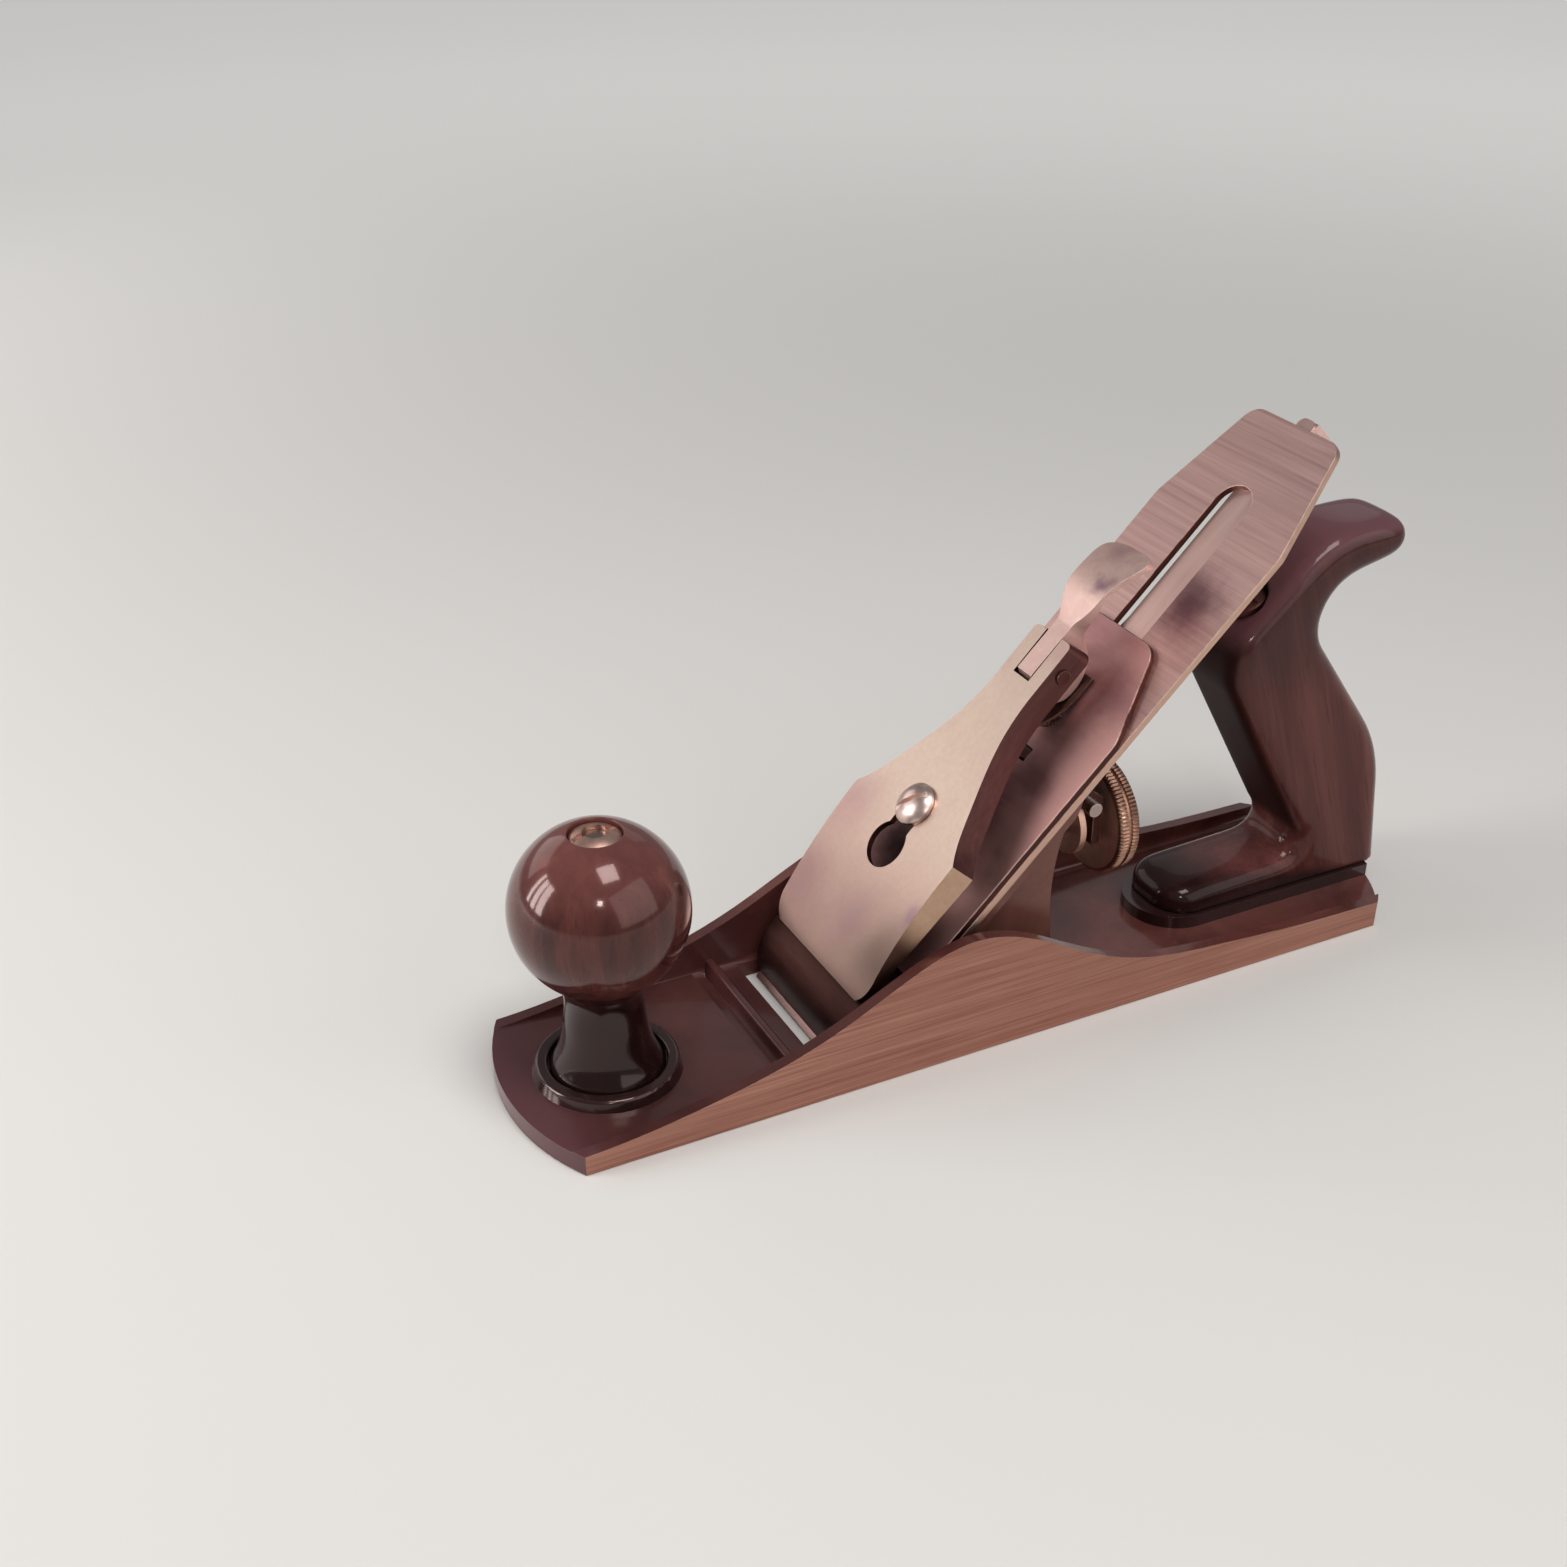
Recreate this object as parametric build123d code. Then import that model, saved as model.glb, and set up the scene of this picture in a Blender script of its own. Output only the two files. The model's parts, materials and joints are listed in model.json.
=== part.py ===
from build123d import *
import math
import os

# A bench plane of the iron pattern.  +X runs from toe to heel, +Z is up, -Y is the plane's left cheek.
# The origin is the middle of the sole's face.  Millimetres and degrees.

# --- casting ---
cheek_length = 237.0  # straight side, between the rounded toe and heel
sole_width = 61.0
toe_bulge = 8.5  # how far the rounded ends stand beyond the straight sides
heel_bulge = 13.0
cheek_wall = 3.2
floor_thickness = 4.0
toe_floor = 5.2  # thicker floor under the knob
channel_corner = 2.5  # root radius where cheeks meet the floor
toe_rim = 5.6  # height of the cheek at the toe
heel_rim = 7.7
cheek_height = 34.8
cheek_peak_x = -13.5
rim_round = 0.6

# --- mouth and bed ---
edge_x = -46.5  # where the iron's upper face meets the sole
bed_angle = 45.0
mouth_gap = 4.8  # opening ahead of the cutting edge
mouth_width = 52.6
rib_width = 3.2
rib_height = 8.0
rib_gap = 6.0  # rib's rear foot to the mouth
pad_step_gap = 4.0  # thick toe floor ends this far ahead of the rib

# --- front knob ---
knob_x = -100.0
knob_ball = 44.6
knob_centre_z = 52.6
knob_waist = 20.6
knob_base = 29.2
ring_height = 3.0
ring_wall = 3.0
ring_clearance = 0.4
stud_diameter = 6.0
nut_diameter = 12.6
nut_height = 3.6
nut_bury = 4.2
stud_floor = 1.4  # metal left under a blind stud hole

# --- rear handle ---
tote_overhang = 3.0  # handle's heel beyond the casting's heel
tote_length = 72.5  # along the seat
tote_width = 24.6
tote_round = 5.0
tote_seat_height = 7.6
tote_top = 113.0
foot_height = 7.6
foot_rise = 1.6  # the foot climbs this much towards the grip
foot_nose = 6.0  # corner radius at the foot's front, seen from the side
foot_end = 9.5  # the same seen from above
crotch_inset = 27.5  # foot meets grip, ahead of the heel
crotch_round = 4.5
brow_inset = 65.0  # forward corner of the grip, ahead of the heel
brow_drop = 30.3  # below the top of the handle
brow_round = 14.0
crown_inset = 31.5  # where the grip's front turns back along the horn
crown_round = 22.0
horn_inset = 6.6  # horn's tip, ahead of the heel
horn_depth = 10.6
horn_round = 5.2
hollow_inset = 41.6  # web of the hand under the horn
hollow_drop = 17.5
hollow_round = 12.5
swell_inset = 4.9  # palm swell
swell_drop = 67.7
swell_round = 45.0
tote_pad_width = 27.0
tote_pad_lead = 4.6  # pad ahead of the handle's foot
tote_stud_inset = 13.0  # stud's foot to the handle's heel
tote_stud_lean = 22.5  # degrees forward of upright
tote_nut_drop = 20.0  # nut's seat below the top of the handle

# --- iron and cap iron ---
iron_width = 50.0
iron_thickness = 2.0
iron_length = 197.6
iron_shoulder = 166.6
iron_top_width = 33.0
iron_corner = 5.0
iron_bevel = 4.3
edge_lift = 0.1  # cutting edge held just clear of the sole's face
slot_width = 12.0
slot_low = 50.0
slot_high = 178.0
slot_eye = 20.0  # round eye that passes the cap iron screw's head
cap_iron_thickness = 2.0
cap_iron_length = 132.0
cap_iron_setback = 1.8
cap_iron_shoulder = 107.0
cap_iron_top_width = 28.0
hump_s = 14.5
hump_height = 8.3
hump_tail = 32.0
cap_screw_s = 104.0
cap_screw_shank = 8.0
cap_screw_head = 15.0
cap_screw_head_height = 3.0

# --- frog ---
frog_width = 46.0
frog_column_width = 38.0
frog_top = 132.0
frog_neck = 98.0
frog_neck_width = 30.0
frog_plate = 4.0
frog_seat_height = 8.5
frog_seat_width = 40.0
frog_back_x = 19.5
frog_waist_x = 17.2
frog_waist_z = 42.0
frog_wall = 4.0
frog_screw_x = -9.0
frog_screw_y = 11.0
frog_screw_shank = 6.0
frog_screw_head = 9.5
frog_screw_head_height = 4.0
frog_base = 6.0
pocket_low_s = 54.0  # hollows behind the bed start this far up it
pocket_floor_x = 8.0
pocket_roof = 1.5  # metal left under the bed plate's own thickness
pocket_mouth_z = 30.0
fork_room_rise = 4.0  # room round the yoke's fork above and below its pin
fork_room_drop = 14.0
washer_diameter = 12.0
washer_thickness = 1.4

# --- lever cap ---
cap_sheet = 1.8
cap_low = 16.5
cap_high = 120.5
cap_width = 50.6
cap_corner = 58.5
cap_neck = 86.0
cap_neck_width = 24.0
cap_prong_width = 18.0
cap_prong_slot = 6.8
cap_prong_root = 106.0
cap_prong_round = 3.0
cap_low_corner = 8.0
cap_flare = 9.0
cap_face = 17.2  # height of the face above the iron at its corner
cap_face_top = 18.3
cap_nose = 10.5
cap_skirt = 7.0
cap_screw_pos = 64.6
cap_travel = 12.4
key_slot = 8.2
key_eye = 12.8
lever_screw_shank = 7.4
lever_screw_head = 11.6
lever_screw_dome = 3.2
lever_screw_slot = 54.0  # how the slot happens to stand, degrees
lever_screw_depth = 8.0  # threaded into the frog

# --- cam lever ---
cam_s = 112.0
cam_n = 14.4
cam_pin_diameter = 4.0
cam_width = 6.0
cam_relief = 1.6  # drop of the eccentric when the lever is raised
cam_stem_low = 107.4
cam_stem_thickness = 3.6
tab_end = 148.2
tab_width = 16.8
tab_thickness = 1.6
tab_arch = 2.0  # the tab rises this far above the cap's face
tab_droop = 4.4  # its end is curled down this far below the face
spring_sheet = 0.8
spring_rise = 0.3  # rest gap under the leaf and under the cam
spring_width = 10.0
spring_low = 74.0
spring_high = 117.0
spring_rivet_s = 79.0
spring_rivet_shank = 3.0
spring_rivet_head = 6.0
spring_rivet_cover = 0.7  # metal left over the rivet's blind end

# --- depth adjustment ---
wheel_z = 41.2
wheel_back_x = 46.0
wheel_diameter = 32.4
wheel_rim = 6.6
wheel_dish = 1.6
wheel_hub = 11.0
wheel_flange = 18.0
wheel_flange_thickness = 1.8
wheel_bore = 6.1
knurl_count = 54
knurl_depth = 0.5
yoke_sheet = 2.6
yoke_play = 1.6  # room each side of the fork, in which the wheel's own travel would be
yoke_s = 92.0
yoke_depth = 14.0  # pin below the iron's upper face
yoke_arm = 6.0
yoke_pin_diameter = 4.0
yoke_slot_play = 0.7
yoke_drop = 1.0  # room over the hub when the yoke rocks forward
stud_boss = 12.0
stud_boss_x = 26.0

# --- lateral adjustment ---
lateral_sheet = 1.6
lateral_width = 9.6
lateral_pivot_s = 127.6
lateral_arm = 10.2
lateral_reach = 3.2  # lever's tip beyond the iron
lateral_finger = 7.0
lateral_tip_width = 5.6
roller_diameter = 9.9
roller_height = 1.9
lateral_rivet = 4.0
roller_rivet_diameter = 3.0

# --- clearances ---
seat_gap = 0.05  # between flat faces that slide or are clamped
fit_gap = 0.05  # radial, pin or shaft in its hole
free_gap = 0.4  # between moving pieces that don't bear

# --- derived ---
bed_cos = math.cos(math.radians(bed_angle))
bed_sin = math.sin(math.radians(bed_angle))
up_slope = (bed_cos, 0, bed_sin)
off_bed = (-bed_sin, 0, bed_cos)
half_width = sole_width / 2
inner_half = half_width - cheek_wall
corner_x = cheek_length / 2
sole_length = cheek_length + toe_bulge + heel_bulge
mouth_front_x = edge_x - mouth_gap
tote_back_x = corner_x + heel_bulge + tote_overhang
lateral_high = iron_length + lateral_reach
tote_front_x = tote_back_x - tote_length
rib_x = mouth_front_x - rib_gap - rib_width / 2
bed_n = -iron_thickness - seat_gap
stud_radius = stud_diameter / 2
cap_iron_n = seat_gap
cap_iron_top_n = cap_iron_n + cap_iron_thickness
wheel_front_x = wheel_back_x - wheel_rim
behind_bed = wheel_back_x + stud_boss  # cuts behind the bed run out past everything to here
yoke_groove = yoke_sheet + 2 * yoke_play
groove_x = wheel_front_x - yoke_groove / 2
eye_s = cap_screw_pos - cap_travel
knob_nut_z = knob_centre_z + knob_ball / 2 - nut_bury
side_view = Plane(origin=(edge_x, 0, 0), x_dir=up_slope, z_dir=(0, -1, 0))


def plan_view(n):
    """Plane parallel to the bed, n above the iron's upper face; x runs up the slope and y across."""
    origin = (edge_x + off_bed[0] * n, 0, off_bed[2] * n)
    return Plane(origin=origin, x_dir=up_slope, z_dir=off_bed)


def bed_place(s, n):
    return (edge_x + s * bed_cos - n * bed_sin, 0, s * bed_sin + n * bed_cos)


def across(sketch, plane, width):
    """Solid made by pushing a side-view sketch out to both sides of the middle."""
    return extrude(plane * sketch, amount=width / 2, both=True)


def rod(start, direction, radius, length):
    return extrude(Plane(origin=start, z_dir=direction) * Circle(radius), amount=length)


def polygon(*points):
    return make_face(Polyline(*points, close=True))


def rounded(points):
    """Closed outline through corners given as (x, y, radius)."""
    outline = polygon(*[(x, y) for x, y, radius in points])
    for x, y, radius in points:
        if radius > 0:
            corner = outline.vertices().sort_by_distance((x, y, 0))[0]
            outline = fillet(corner, radius)
    return outline


def save(name, solid):
    os.makedirs("parts", exist_ok=True)
    solid.label = name
    export_step(solid, "parts/" + name + ".step")


# --- casting ---

def sole_outline():
    left = Line((-corner_x, -half_width), (corner_x, -half_width))
    heel = ThreePointArc((corner_x, -half_width), (corner_x + heel_bulge, 0), (corner_x, half_width))
    right = Line((corner_x, half_width), (-corner_x, half_width))
    toe = ThreePointArc((-corner_x, half_width), (-corner_x - toe_bulge, 0), (-corner_x, -half_width))
    return make_face([left, heel, right, toe])


def cheek_profile():
    """Side view of the casting: low toe, high cheeks beside the iron, low heel."""
    rise = cheek_height - toe_rim
    fall = cheek_height - heel_rim
    front = corner_x + cheek_peak_x
    back = corner_x - cheek_peak_x
    end = corner_x + max(toe_bulge, heel_bulge) + 1
    ahead = [(0.31, 0.14), (0.52, 0.32), (0.69, 0.56), (0.88, 0.89)]
    behind = [(0.12, 0.87), (0.22, 0.61), (0.34, 0.32), (0.44, 0.18), (0.62, 0.085)]
    points = [(-corner_x, toe_rim)]
    points += [(-corner_x + front * a, toe_rim + rise * b) for a, b in ahead]
    points += [(cheek_peak_x, cheek_height)]
    points += [(cheek_peak_x + back * a, heel_rim + fall * b) for a, b in behind]
    points += [(corner_x, heel_rim)]
    crest = Spline(*points, tangents=[(1, 0.04), (1, -0.01)])
    ends = Polyline((corner_x, heel_rim), (end, heel_rim), (end, 0),
                    (-end, 0), (-end, toe_rim), (-corner_x, toe_rim))
    return make_face([crest, ends])


def channel():
    """Space between the cheeks, open at both ends, with rounded roots along the floor."""
    height = cheek_height * 1.2
    middle = floor_thickness + height / 2
    section = Plane.YZ * Pos(0, middle) * Rectangle(2 * inner_half, height)
    low = section.vertices().group_by(Axis.Z)[0]
    section = fillet(low, channel_corner)
    return extrude(section, amount=sole_length, both=True)


def knob_ring():
    inside = knob_base / 2 + ring_clearance
    outside = inside + ring_wall
    top = toe_floor + ring_height
    section = rounded([(inside, floor_thickness, 0), (outside + 1.4, floor_thickness, 0),
                       (outside, top, 1.1), (inside, top, 0.7)])
    return Pos(knob_x, 0, 0) * revolve(Plane.XZ * section, Axis.Z)


def frog_seat():
    """Raised seat behind the mouth, ramped in front as a continuation of the bed."""
    low = floor_thickness - 1
    ramp_n = bed_n - seat_gap
    ramp_low = edge_x + (low - ramp_n * bed_cos) * bed_cos / bed_sin - ramp_n * bed_sin
    ramp_high = edge_x + (frog_seat_height - ramp_n * bed_cos) * bed_cos / bed_sin - ramp_n * bed_sin
    profile = polygon((ramp_low, low), (ramp_high, frog_seat_height),
                      (frog_back_x + 2, frog_seat_height), (frog_back_x + 2, low))
    return across(profile, Plane.XZ, frog_seat_width)


def mouth():
    """Slot through the sole: upright in front, parallel to the bed behind."""
    ramp_n = bed_n - seat_gap
    shift = -ramp_n / bed_sin
    top = floor_thickness + 1
    profile = polygon((mouth_front_x, -1), (edge_x + shift - 1, -1),
                      (edge_x + shift + top, top), (mouth_front_x, top))
    return across(profile, Plane.XZ, mouth_width)


def tote_pad():
    radius = tote_pad_width / 2
    start = tote_front_x - tote_pad_lead + radius
    straight = Pos(start + sole_length / 2, 0) * Rectangle(sole_length, tote_pad_width)
    outline = Pos(start, 0) * Circle(radius) + straight
    return extrude(outline, amount=tote_seat_height)


def tote_axis():
    """Foot and top of the handle's stud, on the middle plane."""
    lean = math.radians(tote_stud_lean)
    foot = Vector(tote_back_x - tote_stud_inset, 0, stud_floor)
    return foot, Vector(-math.sin(lean), 0, math.cos(lean))


def body_casting():
    outline = sole_outline()
    block = extrude(outline, amount=cheek_height) & across(cheek_profile(), Plane.XZ, sole_width + 2)
    shell = block - channel()
    pad_end = rib_x - rib_width / 2 - pad_step_gap
    toe_block = Pos(pad_end - sole_length / 2, 0, 0) * Box(sole_length, sole_width, 2 * toe_floor)
    toe_pad = extrude(outline, amount=toe_floor) & toe_block
    rib = across(rounded([(rib_x - rib_width * 0.75, floor_thickness - 1, 0),
                          (rib_x - rib_width / 3, rib_height, 0.8),
                          (rib_x + rib_width / 3, rib_height, 0.8),
                          (rib_x + rib_width * 0.75, floor_thickness - 1, 0)]),
                 Plane.XZ, 2 * inner_half + 1)
    heel_pad = tote_pad() & extrude(outline, amount=tote_seat_height)
    solid = shell + toe_pad + rib + knob_ring() + frog_seat() + heel_pad
    solid -= mouth()
    solid -= rod((knob_x, 0, stud_floor), (0, 0, 1), stud_radius + fit_gap, toe_floor)
    foot, direction = tote_axis()
    solid -= rod(foot, direction, stud_radius + fit_gap, 2 * tote_seat_height)
    for side in (-1, 1):
        start = (frog_screw_x, side * frog_screw_y, stud_floor)
        solid -= rod(start, (0, 0, 1), frog_screw_shank / 2 + fit_gap, frog_seat_height)
    return solid


# --- front knob ---

def knob():
    ball = knob_ball / 2
    waist = knob_waist / 2
    base = knob_base / 2
    top = knob_centre_z + ball
    neck_z = knob_centre_z - math.sqrt(ball ** 2 - (waist * 1.22) ** 2)
    foot_z = toe_floor + ring_height * 0.7
    waist_z = (neck_z + foot_z) / 2 + 1.5
    neck = Spline((base, foot_z), (waist * 1.2, foot_z + 4.5), (waist, waist_z), (waist * 1.22, neck_z),
                  tangents=[(-0.55, 1), (1.2, 1)])
    side = ThreePointArc((waist * 1.22, neck_z), (ball, knob_centre_z), (0, top))
    rest = Polyline((0, top), (0, toe_floor), (base, toe_floor), (base, foot_z))
    solid = revolve(Plane.XZ * make_face([neck, side, rest]), Axis.Z)
    solid -= rod((0, 0, 0), (0, 0, 1), stud_radius + 4 * fit_gap, top + 1)
    solid -= rod((0, 0, knob_nut_z - seat_gap), (0, 0, 1), nut_diameter / 2 + free_gap, knob_ball)
    return Pos(knob_x, 0, 0) * solid


def dome_nut():
    """Slotted round nut, seated on its lower face at the origin."""
    radius = nut_diameter / 2
    shoulder = nut_height * 0.55
    side = Line((radius, 0), (radius, shoulder))
    crown = ThreePointArc((radius, shoulder), (radius * 0.62, nut_height * 0.88), (0, nut_height))
    rest = Polyline((0, nut_height), (0, 0), (radius, 0))
    solid = revolve(Plane.XZ * make_face([side, crown, rest]), Axis.Z)
    solid -= Pos(0, 0, nut_height) * Box(nut_diameter + 1, 1.6, 2.4)
    return solid - rod((0, 0, -1), (0, 0, 1), stud_radius + fit_gap, nut_height + 2)


def knob_stud():
    length = knob_nut_z + nut_height - 1.4 - stud_floor
    return rod((knob_x, 0, stud_floor + fit_gap), (0, 0, 1), stud_radius, length)


# --- rear handle ---

def tote_outline():
    seat = tote_seat_height
    foot_top = seat + foot_height
    crotch = (tote_back_x - crotch_inset, foot_top + foot_rise, crotch_round)
    brow = (tote_back_x - brow_inset, tote_top - brow_drop, brow_round)
    crown = (tote_back_x - crown_inset, tote_top, crown_round)
    tip_x = tote_back_x - horn_inset
    hollow = (tote_back_x - hollow_inset, tote_top - hollow_drop, hollow_round)
    swell = (tote_back_x - swell_inset, tote_top - swell_drop, swell_round)
    return rounded([(tote_back_x, seat, 0), (tote_front_x, seat, 0), (tote_front_x, foot_top, foot_nose),
                    crotch, brow, crown, (tip_x, tote_top, horn_round),
                    (tip_x, tote_top - horn_depth, horn_round), hollow, swell])


def tote():
    half = tote_width / 2
    far = tote_back_x + 1
    plan = rounded([(tote_front_x, -half, foot_end), (far, -half, 0),
                    (far, half, 0), (tote_front_x, half, foot_end)])
    solid = across(tote_outline(), Plane.XZ, tote_width) & extrude(plan, amount=2 * tote_top)
    sides = [edge for edge in solid.edges() if abs(edge.center().Y) > half - foot_end]
    rims = [edge for edge in sides if edge.center().Z > tote_seat_height + 0.01]
    rims = [edge for edge in rims
            if abs(edge.center().Y) > half - 0.01 or edge.center().Z > tote_seat_height + foot_height / 2]
    solid = fillet(rims, tote_round)
    foot, direction = tote_axis()
    solid -= rod(foot, direction, stud_radius + 4 * fit_gap, 2 * tote_top)
    seat = tote_nut_seat() - direction * seat_gap
    return solid - rod(seat, direction, nut_diameter / 2 + free_gap, tote_top)


def tote_nut_seat():
    foot, direction = tote_axis()
    return foot + direction * ((tote_top - tote_nut_drop - foot.Z) / direction.Z)


def tote_nut():
    foot, direction = tote_axis()
    return Plane(origin=tote_nut_seat(), x_dir=(0, 1, 0), z_dir=direction) * dome_nut()


def tote_stud():
    foot, direction = tote_axis()
    length = (tote_nut_seat() - foot).length + nut_height - 1.4
    return rod(foot + direction * fit_gap, direction, stud_radius, length - fit_gap)


# --- iron and cap iron ---

def slot(low, high, width):
    """Round-ended slot along the slope, as a sketch in plan."""
    length = high - low - width
    return Pos((low + high) / 2, 0) * SlotCenterToCenter(length, width)


def iron():
    low = edge_lift
    half = iron_width / 2
    top_half = iron_top_width / 2
    outline = rounded([(low, -half, 0), (iron_shoulder, -half, 6.0), (iron_length, -top_half, iron_corner),
                       (iron_length, top_half, iron_corner), (iron_shoulder, half, 6.0), (low, half, 0)])
    outline -= slot(slot_low - slot_width / 2, slot_high, slot_width)
    outline -= Pos(slot_low, 0) * Circle(slot_eye / 2)
    solid = extrude(plan_view(-iron_thickness) * outline, amount=iron_thickness)
    bevel = polygon((low - 1, 0), (low, 0), (low + iron_bevel, -iron_thickness),
                    (low + iron_bevel, -iron_thickness - 1),
                    (low - 1, -iron_thickness - 1))
    return solid - across(bevel, side_view, iron_width + 2)


def cap_iron():
    """Flat plate with a sprung hump that bears just behind the cutting edge."""
    lip = edge_lift + cap_iron_setback
    base = cap_iron_n
    over = Spline((hump_tail, cap_iron_top_n), (hump_s + 5, hump_height - 0.9), (hump_s - 1, hump_height),
                  (hump_s - 7, hump_height - 2.2), (lip, base), tangents=[(-1, 0.05), (-0.7, -1)])
    under = Spline((lip + 2.2, base), (hump_s - 4.5, hump_height - 3.4), (hump_s, hump_height - 2.1),
                   (hump_s + 5, hump_height - 3.0), (hump_tail + 2, base), tangents=[(0.7, 1), (1, -0.05)])
    lip_edge = Line((lip, base), (lip + 2.2, base))
    flat = Polyline((hump_tail + 2, base), (cap_iron_length, base), (cap_iron_length, cap_iron_top_n),
                    (hump_tail, cap_iron_top_n))
    plate = across(make_face([over, lip_edge, under, flat]), side_view, iron_width)
    half = iron_width / 2
    top_half = cap_iron_top_width / 2
    outline = rounded([(0, -half, 0), (cap_iron_shoulder, -half, 9.0), (cap_iron_length, -top_half, 7.0),
                       (cap_iron_length, top_half, 7.0), (cap_iron_shoulder, half, 9.0), (0, half, 0)])
    outline -= slot(cap_screw_pos - 12, cap_screw_pos + 9, slot_width)
    outline -= Pos(yoke_s, 0) * Rectangle(yoke_sheet + 2 * yoke_slot_play, yoke_arm + 1.2)
    outline -= Pos(cap_screw_s, 0) * Circle(cap_screw_shank / 2 + fit_gap)
    return plate & extrude(plan_view(-1) * outline, amount=2 * hump_height)


def cap_iron_screw():
    """Broad flat head under the iron, shank through its slot into the cap iron."""
    head_top = -iron_thickness - seat_gap
    start = bed_place(cap_screw_s, head_top - cap_screw_head_height)
    head = rod(start, off_bed, cap_screw_head / 2, cap_screw_head_height)
    length = cap_iron_top_n - head_top
    shank = rod(bed_place(cap_screw_s, head_top), off_bed, cap_screw_shank / 2, length)
    cut = plan_view(cap_iron_top_n) * Pos(cap_screw_s, 0) * Box(1.6, cap_screw_shank + 1, 1.8)
    return head + shank - cut


# --- frog ---

def frog_profile():
    """Side view: sloping bed in front, hollow-curved back, flat foot."""
    foot_s = (frog_seat_height - bed_n * bed_cos) / bed_sin
    toe = bed_place(foot_s, bed_n)
    top = bed_place(frog_top, bed_n)
    back_top = bed_place(frog_top, bed_n - frog_plate)
    join = bed_place(frog_neck, bed_n - frog_plate)
    straight = Polyline((frog_back_x, frog_seat_height), (toe[0], toe[2]), (top[0], top[2]),
                        (back_top[0], back_top[2]), (join[0], join[2]))
    back = Spline((join[0], join[2]), (frog_waist_x, frog_waist_z), (frog_back_x, frog_seat_height),
                  tangents=[(-1, -1), (0.18, -1)])
    return make_face([straight, back])


def frog():
    plate_low = bed_n - frog_plate
    half = frog_width / 2
    neck = frog_neck_width / 2
    outline = rounded([(0, -half, 0), (frog_neck - 10, -half, 6.0), (frog_neck + 6, -neck, 8.0),
                       (frog_top, -neck, 9.0), (frog_top, neck, 9.0), (frog_neck + 6, neck, 8.0),
                       (frog_neck - 10, half, 6.0), (0, half, 0)])
    profile = frog_profile()
    plate = extrude(plan_view(plate_low) * outline, amount=frog_plate)
    plate &= across(profile, Plane.XZ, frog_width)
    column = across(profile, Plane.XZ, frog_column_width) & below_plate(plate_low)
    column -= frog_pockets(plate_low)
    boss_start = frog_waist_x - frog_wall / 2
    boss = rod((boss_start, 0, wheel_z), (1, 0, 0), stud_boss / 2, stud_boss_x - boss_start)
    solid = plate + column + boss
    solid -= rod((boss_start - fit_gap, 0, wheel_z), (1, 0, 0), stud_radius + fit_gap, stud_boss_x)
    solid -= yoke_cavity()
    solid -= lateral_recess()
    head_room = bed_n - cap_screw_head_height - free_gap - 0.6
    room = Pos(cap_screw_s, 0) * Circle(cap_screw_head / 2 + 2.2)
    solid -= extrude(plan_view(head_room) * room, amount=iron_thickness + cap_screw_head_height + 2)
    for side in (-1, 1):
        floor = frog_seat_height + frog_base
        start = (frog_screw_x, side * frog_screw_y, frog_seat_height - 1)
        solid -= rod(start, (0, 0, 1), frog_screw_shank / 2 + 0.4, cheek_height)
        well = Pos(frog_screw_x, side * frog_screw_y, floor + cheek_height / 2)
        solid -= well * Box(washer_diameter + 3, washer_diameter + 1.6, cheek_height)
    into = [-v for v in off_bed]
    solid -= rod(bed_place(cap_screw_pos, bed_n + 1), into, lever_screw_shank / 2 + fit_gap, lever_screw_depth + 2)
    pin = (bed_place(yoke_s, -yoke_depth)[0], -frog_column_width / 2 - 1, bed_place(yoke_s, -yoke_depth)[2])
    return solid - rod(pin, (0, 1, 0), yoke_pin_diameter / 2 + fit_gap, frog_column_width + 2)


def below_plate(plate_low):
    depth = 2 * frog_top
    area = Pos(frog_top / 2, 0) * Rectangle(2 * frog_top, frog_width)
    return extrude(plan_view(plate_low) * area, amount=-depth)


def frog_pockets(plate_low):
    """Hollows behind the bed, open to the back, one each side of the middle web."""
    web = stud_boss + 1.0
    wide = (frog_column_width - web) / 2 - frog_wall
    roof = plate_low - pocket_roof
    floor = frog_seat_height + frog_base
    profile = polygon(bed_pair(pocket_low_s, roof), bed_pair(frog_neck + 2 * frog_plate, roof),
                      (behind_bed, pocket_mouth_z), (behind_bed, floor), (pocket_floor_x, floor),
                      (pocket_floor_x - frog_plate / 2, pocket_mouth_z - frog_base))
    pockets = []
    for side in (-1, 1):
        middle = side * (web + wide) / 2
        pockets.append(Pos(0, middle, 0) * across(profile, Plane.XZ, wide))
    return pockets


def bed_pair(s, n):
    place = bed_place(s, n)
    return (place[0], place[2])


def yoke_cavity():
    """Slot through the bed for the yoke, open behind so that its fork can reach the wheel."""
    wide = yoke_arm + 2 * free_gap
    window = Pos(yoke_s, 0) * Rectangle(yoke_sheet + 2 * yoke_slot_play + 1.5 * frog_plate, wide)
    slot_cut = extrude(plan_view(bed_n + 1) * window, amount=-2 * yoke_depth)
    pin = bed_place(yoke_s, -yoke_depth)
    high = pin[2] + fork_room_rise
    low = wheel_z - fork_room_drop
    boss_end = stud_boss_x + 2 * seat_gap
    fork_room = polygon((pin[0] - 2 * fork_room_rise, high),
                        (pin[0] + fork_room_rise / 2, pin[2] + 2.5 * fork_room_rise),
                        (behind_bed, high), (behind_bed, low), (boss_end, low),
                        (boss_end, pin[2] - 2.25 * fork_room_rise),
                        (pin[0] - 2 * fork_room_rise, pin[2] - 1.5 * fork_room_rise))
    return [slot_cut, across(fork_room, Plane.XZ, fork_width() + 2 * free_gap)]


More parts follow.
